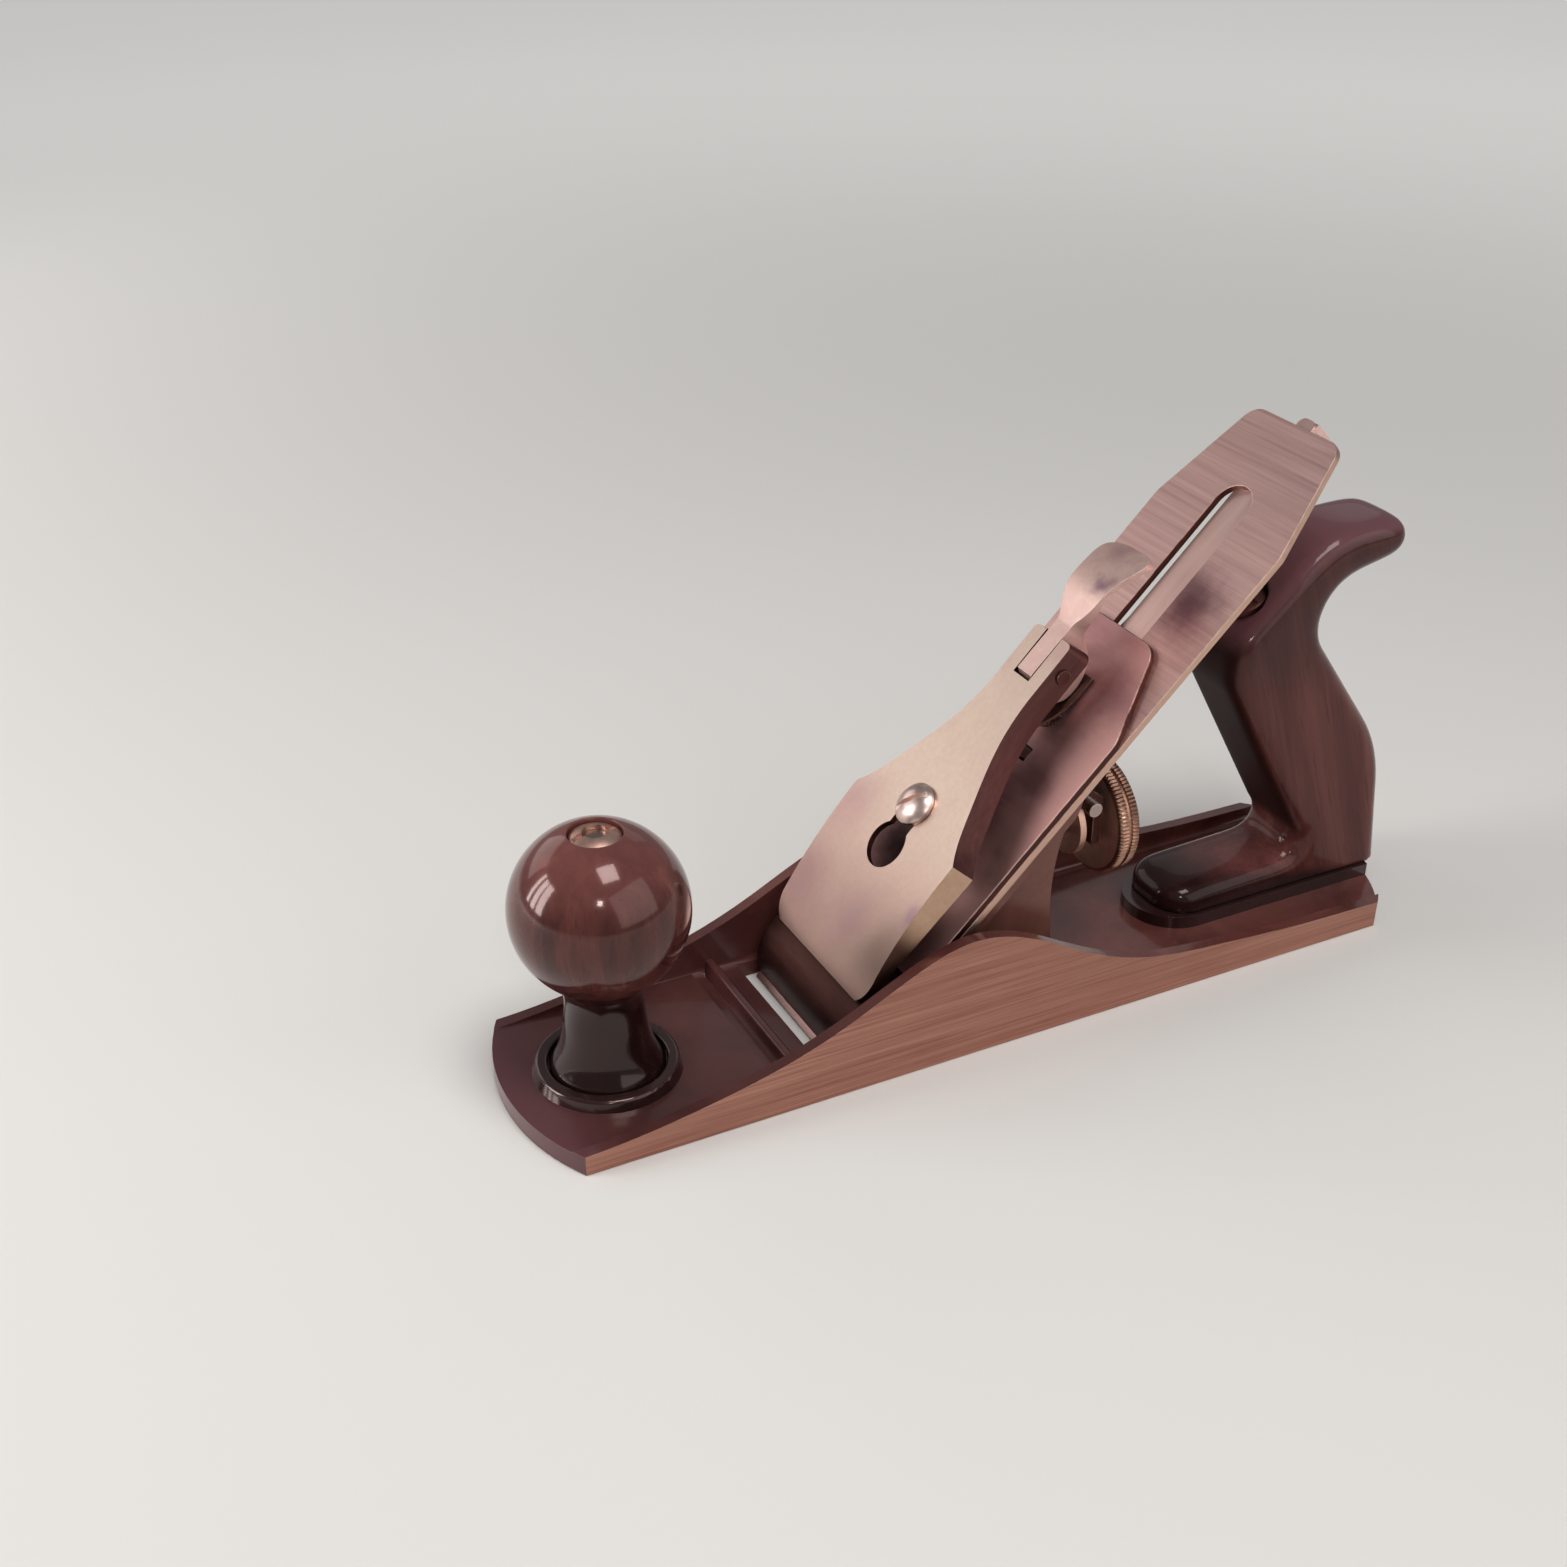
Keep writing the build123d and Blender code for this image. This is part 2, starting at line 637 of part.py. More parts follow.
def lateral_recess():
    """Shallow flat in the top of the bed in which the lateral lever swings."""
    depth = lateral_sheet + free_gap
    low = lateral_pivot_s - lateral_arm - roller_diameter / 2 - 2.5
    wide = lateral_width + 9.0
    area = Pos((low + frog_top + 5) / 2, 0) * Rectangle(frog_top + 5 - low, wide)
    cut = extrude(plan_view(bed_n - depth) * area, amount=depth + 1)
    into = [-v for v in off_bed]
    hole = rod(bed_place(lateral_pivot_s, bed_n + 1), into, lateral_rivet / 2 + fit_gap, 2 * frog_plate)
    return [cut, hole]


def frog_screws():
    screws = []
    seat = frog_seat_height + frog_base + washer_thickness + seat_gap
    for side in (-1, 1):
        shank = rod((0, 0, stud_floor + fit_gap), (0, 0, 1),
                    frog_screw_shank / 2, seat - stud_floor - fit_gap)
        head = rod((0, 0, seat), (0, 0, 1), frog_screw_head / 2, frog_screw_head_height)
        head = fillet(head.edges().sort_by(Axis.Z)[-1], 1.2)
        cut = Pos(0, 0, seat + frog_screw_head_height) * Box(frog_screw_head + 1, 1.4, 2.4)
        screws.append(Pos(frog_screw_x, side * frog_screw_y, 0) * (shank + head - cut))
    return Compound(children=screws)


def frog_washers():
    washers = []
    seat = frog_seat_height + frog_base
    for side in (-1, 1):
        ring = Circle(washer_diameter / 2) - Circle(frog_screw_shank / 2 + 0.3)
        washer = Pos(frog_screw_x, side * frog_screw_y, seat) * extrude(ring, amount=washer_thickness)
        washers.append(washer)
    return Compound(children=washers)


# --- lever cap ---

def cap_outline(inset):
    """Plan of the lever cap, each side drawn in by inset: wide below, necked to two prongs."""
    wide = cap_width / 2 - inset
    neck = cap_neck_width / 2 - inset
    prong = cap_prong_width / 2 - inset
    low = cap_low + inset * 0.2
    rise = (cap_neck - cap_corner) * 0.5
    right = Spline((cap_corner + 1.2, -wide),
                   (cap_corner + rise, -wide + (wide - neck) * 0.56), (cap_neck, -neck),
                   (cap_prong_root - 4, -prong), tangents=[(1, 1.0), (1, 0.04)])
    left = Spline((cap_prong_root - 4, prong), (cap_neck, neck),
                  (cap_corner + rise, wide - (wide - neck) * 0.56),
                  (cap_corner + 1.2, wide), tangents=[(-1, 0.04), (-1, 1.0)])
    high = cap_high - inset
    top = Polyline((cap_prong_root - 4, -prong), (high, -prong), (high, prong), (cap_prong_root - 4, prong))
    base = Polyline((cap_corner + 1.2, wide), (cap_corner - 1.2, wide),
                    (low, wide - 0.9), (low, -wide + 0.9),
                    (cap_corner - 1.2, -wide), (cap_corner + 1.2, -wide))
    outline = make_face([right, top, left, base])
    outline = fillet(outline.vertices().group_by(Axis.X)[0], cap_low_corner - inset)
    return fillet(outline.vertices().group_by(Axis.X)[-1], cap_prong_round - inset * 0.5)


def cap_profile(sink):
    """Side view of the space under the face, lowered by sink."""
    end = cap_high + 4
    slope = (face_height(end) - cap_face) / (end - cap_corner)
    turn = (cap_corner - cap_low) * 0.5  # the face starts to curve down this far below its corner
    swell = Bezier((cap_low - 2, cap_nose - 3 - sink), (cap_low - 1.5, cap_nose + 1.0 - sink),
                   (cap_corner - turn, cap_face - turn * slope - sink), (cap_corner, cap_face - sink))
    rest = Polyline((cap_corner, cap_face - sink), (end, face_height(end) - sink),
                    (end, 0), (cap_low - 2, 0),
                    (cap_low - 2, cap_nose - 3 - sink))
    return make_face([swell, rest])


def cap_block(inset, sink):
    grown = cap_outline(inset)
    tall = cap_face_top + 4
    start = cap_face - cap_skirt
    upper = extrude(plan_view(start) * grown, amount=tall - start, taper=cap_flare)
    return upper & across(cap_profile(sink), side_view, cap_width + 12)


def lever_cap():
    """Pressed cap: closed face, flared skirts, keyhole, and two prongs that carry the cam."""
    outer = cap_block(0.0, 0.0)
    inner = cap_block(cap_sheet, cap_sheet)
    solid = outer - inner
    hem = polygon((0, 0), (0, cap_nose - 0.7), (cap_low, cap_nose - 0.7),
                  (cap_corner, cap_face - cap_skirt + 0.01),
                  (cap_high + 5, cam_n - cam_pin_diameter / 2 - 1.0), (cap_high + 5, 0))
    solid -= across(hem, side_view, cap_width + 12)
    keyhole = slot(eye_s - key_slot / 2, cap_screw_pos + key_slot / 2 + 0.6, key_slot)
    keyhole += Pos(eye_s, 0) * Circle(key_eye / 2)
    solid -= extrude(plan_view(cap_nose) * keyhole, amount=cap_face_top)
    top = cap_high + 4
    gap = Pos((cap_prong_root + top) / 2, 0) * Rectangle(top - cap_prong_root, cap_prong_slot)
    solid -= extrude(plan_view(0) * gap, amount=2 * cap_face_top)
    solid -= across(Pos(cam_s, cam_n) * Circle(cam_pin_diameter / 2 + fit_gap), side_view, cap_width)
    blind = face_height(spring_rivet_s) - spring_rivet_cover
    start = spring_seat() - seat_gap
    return solid - rod(bed_place(spring_rivet_s, start), off_bed, spring_rivet_shank / 2 + fit_gap, blind - start)


def lever_cap_screw():
    """Shouldered screw from the frog through iron and cap iron, holding the keyhole under its head."""
    seat = face_height(cap_screw_pos + lever_screw_head / 2) + seat_gap
    start = bed_n - lever_screw_depth
    shank = rod(bed_place(cap_screw_pos, start), off_bed, lever_screw_shank / 2, seat - start)
    radius = lever_screw_head / 2
    crown = ThreePointArc((radius, 1.0), (radius * 0.66, lever_screw_dome * 0.8), (0, lever_screw_dome))
    rest = Polyline((0, lever_screw_dome), (0, 0), (radius, 0), (radius, 1.0))
    head = revolve(Plane.XZ * make_face([crown, rest]), Axis.Z)
    head -= Pos(0, 0, lever_screw_dome) * Rot(0, 0, lever_screw_slot) * Box(1.5, lever_screw_head + 1, 2.6)
    return shank + plan_view(seat) * Pos(cap_screw_pos, 0, 0) * head


def face_height(s):
    """Height of the lever cap's face above its corner, where the face is flat."""
    return cap_face + (cap_face_top - cap_face) * (s - cap_corner) / (cap_high - cap_corner)


def cap_spring():
    """Leaf under the cap, riveted to the face and bent down to lie on the cap iron."""
    low_n = cap_iron_top_n + spring_rise
    seat_n = spring_seat()
    flat_end = spring_rivet_s + spring_rivet_head / 2 + 2
    end_n = seat_n + face_height(flat_end) - face_height(spring_low)
    flat = Line((spring_low, seat_n), (flat_end, end_n))
    bend = Spline((flat_end, end_n), ((flat_end + spring_high) / 2 - 4, (end_n + low_n) / 2),
                  (spring_high - 11, low_n + 0.9), (spring_high, low_n), tangents=[(1, 0.02), (1, 0)])
    lift = Pos(0, spring_sheet)
    ends = [Line(flat @ 0, lift * flat @ 0), Line(bend @ 1, lift * bend @ 1)]
    leaf = across(make_face([flat, bend, lift * flat, lift * bend] + ends), side_view, spring_width)
    return leaf - rod(bed_place(spring_rivet_s, 0), off_bed, spring_rivet_shank / 2 + fit_gap, cap_face)


def spring_seat():
    """Lower face of the leaf where it is riveted up against the inside of the cap."""
    return face_height(spring_low) - cap_sheet - spring_sheet - seat_gap


def spring_rivet():
    head_n = spring_seat() - 1.2
    top_n = face_height(spring_rivet_s) - spring_rivet_cover - fit_gap
    head = rod(bed_place(spring_rivet_s, head_n), off_bed, spring_rivet_head / 2, 1.2 - seat_gap)
    shank = rod(bed_place(spring_rivet_s, head_n), off_bed, spring_rivet_shank / 2, top_n - head_n)
    return head + shank


def cam_lever():
    """Eccentric between the prongs, stem up the slope and a fan-shaped, arched thumb tab."""
    section = across(cam_section(), side_view, tab_width + 2)
    solid = section & extrude(plan_view(0) * cam_plan(), amount=2 * cap_face_top)
    return solid - across(Pos(cam_s, cam_n) * Circle(cam_pin_diameter / 2 + fit_gap), side_view, cap_width)


def cam_section():
    radius = cam_n - (cap_iron_top_n + 2 * spring_rise + spring_sheet)
    eased = radius - cam_relief
    top = face_height(cam_s)
    turn = math.radians(20)
    low = (cam_s - radius * math.sin(turn), cam_n - radius * math.cos(turn))
    high = (cam_s + radius * math.cos(turn), cam_n - radius * math.sin(turn))
    drum = ThreePointArc(low, (cam_s + radius * bed_cos, cam_n - radius * bed_sin), high)
    relief = ThreePointArc(low, (cam_s - eased * 0.85, cam_n - eased * 0.56), (cam_s - eased, cam_n))
    stem_end = cap_high + 2
    crest = (stem_end + tab_end) / 2 - 2
    thick = tab_thickness
    over = Spline((stem_end, top), (crest, top + tab_arch), (tab_end - 6, top), (tab_end, top - tab_droop),
                  tangents=[(1, 0.12), (0.6, -1)])
    under = Spline(high, (stem_end + 4, top - cam_stem_thickness + 0.8), (crest, top + tab_arch - thick),
                   (tab_end - 6.6, top - thick), (tab_end - thick, top - tab_droop - 0.3),
                   tangents=[(0.2, 1), (0.6, -1)])
    rest = Polyline((stem_end, top), (cam_stem_low, top),
                    (cap_prong_root, cam_n + 1.0), (cam_s - eased, cam_n))
    return make_face([drum, relief, under, Line(under @ 1, over @ 1), over, rest])


def cam_plan():
    half = cam_width / 2
    wide = tab_width / 2
    neck = cap_high + 1.5
    places = [(neck, half), (neck + 4, half + 1.6), (neck + 10, wide * 0.83), (neck + 16, wide * 0.92),
              (tab_end - 3, wide), (tab_end + 0.3, 0)]
    near = Spline(*[(s, -y) for s, y in places], tangents=[(1, 0), (0, 1)])
    far = Spline(*reversed(places), tangents=[(0, 1), (-1, 0)])
    back = Polyline((neck, half), (cam_s - 2 * cam_n, half), (cam_s - 2 * cam_n, -half), (neck, -half))
    return make_face([near, far, back])


def cam_pin():
    flare = 2 * (cap_face_top - cam_n) * math.tan(math.radians(cap_flare))
    length = cap_prong_width - flare * 0.2
    return across(Pos(cam_s, cam_n) * Circle(cam_pin_diameter / 2), side_view, length)


# --- depth adjustment ---

def depth_wheel():
    """Knurled brass wheel, grooved hub in front for the yoke's fork."""
    outer = wheel_diameter / 2
    hub_front = wheel_front_x - yoke_groove - wheel_flange_thickness
    points = []
    for step in range(2 * knurl_count):
        angle = math.pi * step / knurl_count
        radius = outer - knurl_depth * (step % 2)
        points.append((radius * math.cos(angle), radius * math.sin(angle)))
    rim = extrude(Plane.YZ * polygon(*points), amount=wheel_rim)
    rim &= revolve(Plane.XZ * wheel_section(outer), Axis.X)
    hub = rod((hub_front - wheel_front_x, 0, 0), (1, 0, 0), wheel_hub / 2, wheel_front_x - hub_front + 0.5)
    flange = rod((hub_front - wheel_front_x, 0, 0), (1, 0, 0), wheel_flange / 2, wheel_flange_thickness)
    solid = Pos(wheel_front_x, 0, wheel_z) * (rim + hub + flange)
    return solid - rod((0, 0, wheel_z), (1, 0, 0), wheel_bore / 2, sole_length)


def wheel_section(outer):
    """Half section of the rim: chamfered edges and a dished back."""
    bevel = 0.9
    return polygon((0, 0), (0, outer - bevel),
                   (bevel, outer), (wheel_rim - bevel, outer), (wheel_rim, outer - bevel),
                   (wheel_rim, outer - 3.4), (wheel_rim - wheel_dish, outer - 5.0),
                   (wheel_rim - wheel_dish, 5.6),
                   (wheel_rim, 5.0), (wheel_rim, 0))


def depth_stud():
    start = frog_waist_x - frog_wall / 2
    return rod((start, 0, wheel_z), (1, 0, 0), stud_radius, wheel_back_x + 1.5 - start)


def fork_width():
    return wheel_hub + 2 * free_gap + 6.4


def yoke():
    """Bell-crank: one arm up through the bed into the cap iron, a fork down into the wheel's groove."""
    pin = bed_place(yoke_s, -yoke_depth)
    reach = cap_iron_top_n - 0.4
    arm = polygon(bed_pair(yoke_s - yoke_sheet / 2, reach), bed_pair(yoke_s + yoke_sheet / 2, reach),
                  bed_pair(yoke_s + 3.4, -yoke_depth), bed_pair(yoke_s, -yoke_depth - 3.6),
                  bed_pair(yoke_s - 3.4, -yoke_depth))
    upper = across(arm, Plane.XZ, yoke_arm)
    eye = rod((pin[0], -fork_width() / 2, pin[2]), (0, 1, 0), 4.0, fork_width())
    half = yoke_sheet / 2
    low = wheel_z - 3.5
    knee = wheel_z + wheel_flange / 2 + yoke_drop + free_gap
    leg = polygon((pin[0] - 3.6, pin[2] - 1), (pin[0] + 3.6, pin[2] + 1), (groove_x + half, knee),
                  (groove_x + half, low), (groove_x - half, low), (groove_x - half, knee))
    fork = across(leg, Plane.XZ, fork_width())
    crown = wheel_z + yoke_drop
    throat = Pos(0, crown) * Circle(wheel_hub / 2 + free_gap)
    throat += Pos(0, crown / 2) * Rectangle(wheel_hub + 2 * free_gap, crown)
    fork -= extrude(Plane.YZ * throat, amount=sole_length)
    solid = upper + eye + fork
    hole = rod((pin[0], -fork_width(), pin[2]), (0, 1, 0), yoke_pin_diameter / 2 + fit_gap, 2 * fork_width())
    return solid - hole


def yoke_pin():
    pin = bed_place(yoke_s, -yoke_depth)
    return rod((pin[0], -frog_column_width / 2, pin[2]), (0, 1, 0), yoke_pin_diameter / 2, frog_column_width)


# --- lateral adjustment ---

def lateral_lever():
    """Flat lever under the iron; its top end is turned over as a finger rest."""
    top_n = bed_n - seat_gap
    half = lateral_width / 2
    low = lateral_pivot_s - lateral_arm - 3.2
    tip = lateral_tip_width / 2
    neck = iron_length - 6
    strip = rounded([(low, -3.2, 3.0), (lateral_pivot_s - 4, -half - 1.4, 3.0),
                     (lateral_pivot_s + 8, -half, 6.0),
                     (neck - 6, -half, 4.0), (neck, -tip, 3.0), (lateral_high, -tip, 2.0),
                     (lateral_high, tip, 2.0), (neck, tip, 3.0),
                     (neck - 6, half, 4.0), (lateral_pivot_s + 8, half, 6.0),
                     (lateral_pivot_s - 4, half + 1.4, 3.0), (low, 3.2, 3.0)])
    strip -= Pos(lateral_pivot_s, 0) * Circle(lateral_rivet / 2 + fit_gap)
    strip -= Pos(lateral_pivot_s - lateral_arm, 0) * Circle(roller_rivet_diameter / 2 + fit_gap)
    plate = extrude(plan_view(top_n - lateral_sheet) * strip, amount=lateral_sheet)
    lip = across(polygon((lateral_high - lateral_sheet, top_n - 0.8), (lateral_high, top_n - 0.8),
                         (lateral_high, top_n - lateral_finger),
                         (lateral_high - lateral_sheet, top_n - lateral_finger)),
                 side_view, lateral_tip_width)
    return plate + lip


def lateral_pivot():
    top_n = bed_n - seat_gap
    low = bed_n - frog_plate
    shank = rod(bed_place(lateral_pivot_s, low), off_bed, lateral_rivet / 2, top_n + seat_gap - low)
    head = rod(bed_place(lateral_pivot_s, top_n + seat_gap),
               off_bed, lateral_rivet / 2 + 1.2, iron_thickness * 0.6)
    return shank + head


def lateral_roller():
    top_n = bed_n - seat_gap
    ring = Circle(roller_diameter / 2) - Circle(roller_rivet_diameter / 2 + fit_gap)
    return extrude(plan_view(top_n + seat_gap) * Pos(lateral_pivot_s - lateral_arm, 0) * ring,
                   amount=roller_height)


def roller_rivet():
    top_n = bed_n - seat_gap
    start = bed_place(lateral_pivot_s - lateral_arm, top_n - lateral_sheet)
    return rod(start, off_bed, roller_rivet_diameter / 2, lateral_sheet + seat_gap + roller_height)


PIECES = [body_casting, knob, knob_stud, tote, tote_stud, tote_nut, frog, frog_screws, frog_washers,
          iron, cap_iron, cap_iron_screw, lever_cap, lever_cap_screw, cap_spring, spring_rivet,
          cam_lever, cam_pin, depth_wheel, depth_stud, yoke, yoke_pin,
          lateral_lever, lateral_pivot, lateral_roller, roller_rivet]

for make in PIECES:
    save(make.__name__, make())
save("knob_nut", Pos(knob_x, 0, knob_nut_z) * dome_nut())
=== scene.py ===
import json
import bpy
import bmesh
from math import radians, sin, cos, atan2, pi
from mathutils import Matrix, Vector


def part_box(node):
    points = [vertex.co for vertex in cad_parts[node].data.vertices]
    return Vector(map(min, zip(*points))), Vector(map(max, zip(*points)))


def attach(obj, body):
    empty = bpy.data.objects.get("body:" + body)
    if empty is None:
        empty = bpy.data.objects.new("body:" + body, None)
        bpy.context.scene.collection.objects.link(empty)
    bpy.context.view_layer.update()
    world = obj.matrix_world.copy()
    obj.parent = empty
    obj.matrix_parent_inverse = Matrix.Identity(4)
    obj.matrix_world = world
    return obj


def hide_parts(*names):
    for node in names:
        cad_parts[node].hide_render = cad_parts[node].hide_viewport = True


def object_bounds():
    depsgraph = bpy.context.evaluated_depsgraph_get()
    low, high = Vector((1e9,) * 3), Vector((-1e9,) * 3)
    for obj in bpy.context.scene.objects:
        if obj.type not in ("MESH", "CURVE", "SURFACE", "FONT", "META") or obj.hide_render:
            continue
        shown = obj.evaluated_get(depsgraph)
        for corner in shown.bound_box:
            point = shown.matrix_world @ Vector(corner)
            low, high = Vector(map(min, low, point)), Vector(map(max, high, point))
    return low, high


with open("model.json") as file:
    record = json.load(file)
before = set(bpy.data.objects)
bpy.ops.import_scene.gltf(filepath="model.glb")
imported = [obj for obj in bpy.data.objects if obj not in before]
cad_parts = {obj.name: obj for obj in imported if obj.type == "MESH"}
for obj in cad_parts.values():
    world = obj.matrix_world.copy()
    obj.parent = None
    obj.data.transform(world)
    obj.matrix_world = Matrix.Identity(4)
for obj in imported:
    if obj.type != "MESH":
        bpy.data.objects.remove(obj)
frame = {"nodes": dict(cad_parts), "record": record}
packedLow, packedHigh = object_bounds()
nodes = frame["nodes"]
record = frame["record"]
bodyOf = {node: body for body, members in record["behaviour"]["bodies"].items() for node in members}
castingLow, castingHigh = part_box("body_casting")
ironLow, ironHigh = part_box("iron")
knobLow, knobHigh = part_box("knob")
toteLow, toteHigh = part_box("tote")
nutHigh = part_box("tote_nut")[1]
mm = 0.001

# every piece of the blade lies along one 45 degree bed
slope = radians(45)
upSlope = Vector((cos(slope), 0, sin(slope)))
downSlope = tuple(-upSlope)
offBed = Vector((-sin(slope), 0, cos(slope)))
bedFoot = Vector((ironLow.x - ironLow.z, 0, 0))   # where the slope meets the sole
bedStart = bedFoot.dot(upSlope)


def onSlope(along, across, height=0.0):
    # millimetres up the slope, to the far side and off the iron's face, as a place in metres
    return bedFoot + upSlope * along * mm + offBed * height * mm + Vector((0, across * mm, 0))


def upBed(millimetres):
    # millimetres up the slope, as metres along it from the origin
    return bedStart + millimetres * mm


def alongBed(place):
    # how many millimetres up the slope a place lies
    return (place.dot(upSlope) - bedStart) / mm


def tone(red, green, blue):
    # a colour picked in 0-255 screen values, as the linear colour a shader wants
    def linear(value):
        value /= 255
        return value / 12.92 if value <= 0.04045 else ((value + 0.055) / 1.055) ** 2.4
    return (linear(red), linear(green), linear(blue), 1)


def newObject(name, data):
    made = bpy.data.objects.new(name, data)
    bpy.context.scene.collection.objects.link(made)
    return made


def meshFrom(bm, name):
    mesh = bpy.data.meshes.new(name)
    bm.to_mesh(mesh)
    bm.free()
    return mesh


def newGroup(name, inputs, outputs):
    group = bpy.data.node_groups.new(name, "ShaderNodeTree")
    for label, kind, value in inputs:
        socket = group.interface.new_socket(label, in_out="INPUT", socket_type=kind)
        if value is not None:
            socket.default_value = value
    for label in outputs:
        group.interface.new_socket(label, in_out="OUTPUT", socket_type="NodeSocketFloat")
    inside = group.nodes.new("NodeGroupInput").outputs
    outside = group.nodes.new("NodeGroupOutput").inputs
    return group, inside, outside


def addNode(tree, kind, settings=None, values=None):
    node = tree.nodes.new(kind)
    for key, value in (settings or {}).items():
        setattr(node, key, value)
    for key, value in (values or {}).items():
        node.inputs[key].default_value = value
    return node


def addRamp(tree, source, stops):
    ramp = tree.nodes.new("ShaderNodeValToRGB")
    band = ramp.color_ramp
    while len(band.elements) < len(stops):
        band.elements.new(0.5)
    for element, (place, colour) in zip(band.elements, stops):
        element.position = place
        element.color = colour
    tree.links.new(source, ramp.inputs["Fac"])
    return ramp.outputs["Color"]


def addMath(tree, operation, first, second=None, clamp=False):
    node = addNode(tree, "ShaderNodeMath", {"operation": operation, "use_clamp": clamp})
    for index, value in enumerate((first, second)):
        if isinstance(value, (int, float)):
            node.inputs[index].default_value = value
        elif value is not None:
            tree.links.new(value, node.inputs[index])
    return node.outputs["Value"]


def addShare(tree, value, share):
    return addMath(tree, "MULTIPLY", value, share)


def addRise(tree, value, start, gain):
    # nothing up to the start, then rising to 1
    return addMath(tree, "MULTIPLY", addMath(tree, "SUBTRACT", value, start), gain, True)


def addFall(tree, value, gain):
    # 1 at nothing, then falling to 0
    return addMath(tree, "SUBTRACT", 1.0, addShare(tree, value, gain), True)


def addLayer(tree, under, mask, share, over):
    # lays a colour over what is there, by a share of a mask
    return addMix(tree, addShare(tree, mask, share), under, over)


def addDrift(tree, vector, noise):
    # wanders to both sides of 0
    return addMath(tree, "SUBTRACT", addNoise(tree, vector, noise), 0.5)


mixSockets = {"factor": 0, "first": 6, "second": 7, "result": 2}   # a Mix node's places for colours


def addMix(tree, factor, first, second):
    node = addNode(tree, "ShaderNodeMix", {"data_type": "RGBA", "clamp_factor": True})
    for key, value in (("factor", factor), ("first", first), ("second", second)):
        socket = node.inputs[mixSockets[key]]
        if isinstance(value, (int, float, tuple)):
            socket.default_value = value
        else:
            tree.links.new(value, socket)
    return node.outputs[mixSockets["result"]]


def addVector(tree, operation, first, second):
    node = addNode(tree, "ShaderNodeVectorMath", {"operation": operation})
    tree.links.new(first, node.inputs[0])
    tree.links.new(second, node.inputs[1])
    return node.outputs


def addReach(tree, source, low, high, values=None):
    # a soft step between two values
    reach = addNode(tree, "ShaderNodeMapRange", {"interpolation_type": "SMOOTHSTEP"}, values)
    tree.links.new(source, reach.inputs["Value"])
    for key, value in (("From Min", low), ("From Max", high)):
        if value is not None:
            tree.links.new(value, reach.inputs[key])
    return reach.outputs["Result"]


# scale, detail, roughness and distortion of every noise
noises = {
    "grindFine": (1.0, 5, 0.7, 0.0),
    "grindBroad": (0.23, 3, 0.6, 0.0),
    "grindScratch": (0.55, 2, 0.5, 0.3),
    "metalBlotch": (38.0, 3, 0.6, 0.4),
    "rubPatches": (240.0, 4, 0.65, 0.0),
    "enamelPeel": (620.0, 2, 0.5, 0.0),
    "enamelWaves": (130.0, 2, 0.5, 0.0),
    "enamelCloud": (34.0, 5, 0.65, 0.6),
    "speckPatches": (70.0, 2, 0.5, 0.0),
    "woodFigure": (150.0, 5, 0.62, 0.5),
    "woodStreaks": (420.0, 3, 0.6, 0.0),
    "woodPores": (1150.0, 2, 0.5, 0.0),
    "woodCloud": (27.0, 3, 0.55, 0.0),
    "dustPatches": (55.0, 5, 0.7, 0.0),
    "spotBorder": (120.0, 4, 0.6, 0.0),
    "fadeBorder": (60.0, 4, 0.6, 0.0),
}


def addNoise(tree, vector, noise):
    values = dict(zip(("Scale", "Detail", "Roughness", "Distortion"), noises[noise]))
    node = addNode(tree, "ShaderNodeTexNoise", None, values)
    tree.links.new(vector, node.inputs["Vector"])
    return node.outputs["Fac"]


vectorInput = ("Vector", "NodeSocketVector", None)
grinding = {"fineShare": 0.78, "broadShare": 0.22, "scratchGain": 26.0}


def makeBrushedGroup():
    # fine grinding lines, single deeper scratches and a soft blotch
    group, inside, outside = newGroup("grindingLines", [
        vectorInput, ("Stretch", "NodeSocketVector", (12, 900, 900))],
        ["Lines", "Scratches", "Blotch"])
    stretched = addVector(group, "MULTIPLY", inside["Vector"], inside["Stretch"])[0]
    fine = addShare(group, addNoise(group, stretched, "grindFine"), grinding["fineShare"])
    broad = addShare(group, addNoise(group, stretched, "grindBroad"), grinding["broadShare"])
    group.links.new(addMath(group, "ADD", fine, broad), outside["Lines"])
    offCentre = addMath(group, "ABSOLUTE", addDrift(group, stretched, "grindScratch"))
    group.links.new(addFall(group, offCentre, grinding["scratchGain"]), outside["Scratches"])
    group.links.new(addNoise(group, inside["Vector"], "metalBlotch"), outside["Blotch"])
    return group


rubbing = {"start": 0.36, "gain": 4.5}


def makeWearGroup():
    # paler where a rounded edge has been rubbed, which also stands for painted highlight lines
    # along the edges: rounded edges carry the attribute "rub"
    group, inside, outside = newGroup("edgeWearAndHighlight", [
        vectorInput, ("Amount", "NodeSocketFloat", 0.5)], ["Mask"])
    edge = addNode(group, "ShaderNodeAttribute", {"attribute_name": "rub"}).outputs["Fac"]
    patches = addNoise(group, inside["Vector"], "rubPatches")
    patches = addRise(group, patches, rubbing["start"], rubbing["gain"])
    rubbed = addMath(group, "MULTIPLY", edge, patches)
    group.links.new(addMath(group, "MULTIPLY", rubbed, inside["Amount"], True), outside["Mask"])
    return group


specks = {"peelShare": 0.35, "scale": 420.0, "gain": 9.0, "patchStart": 0.62}


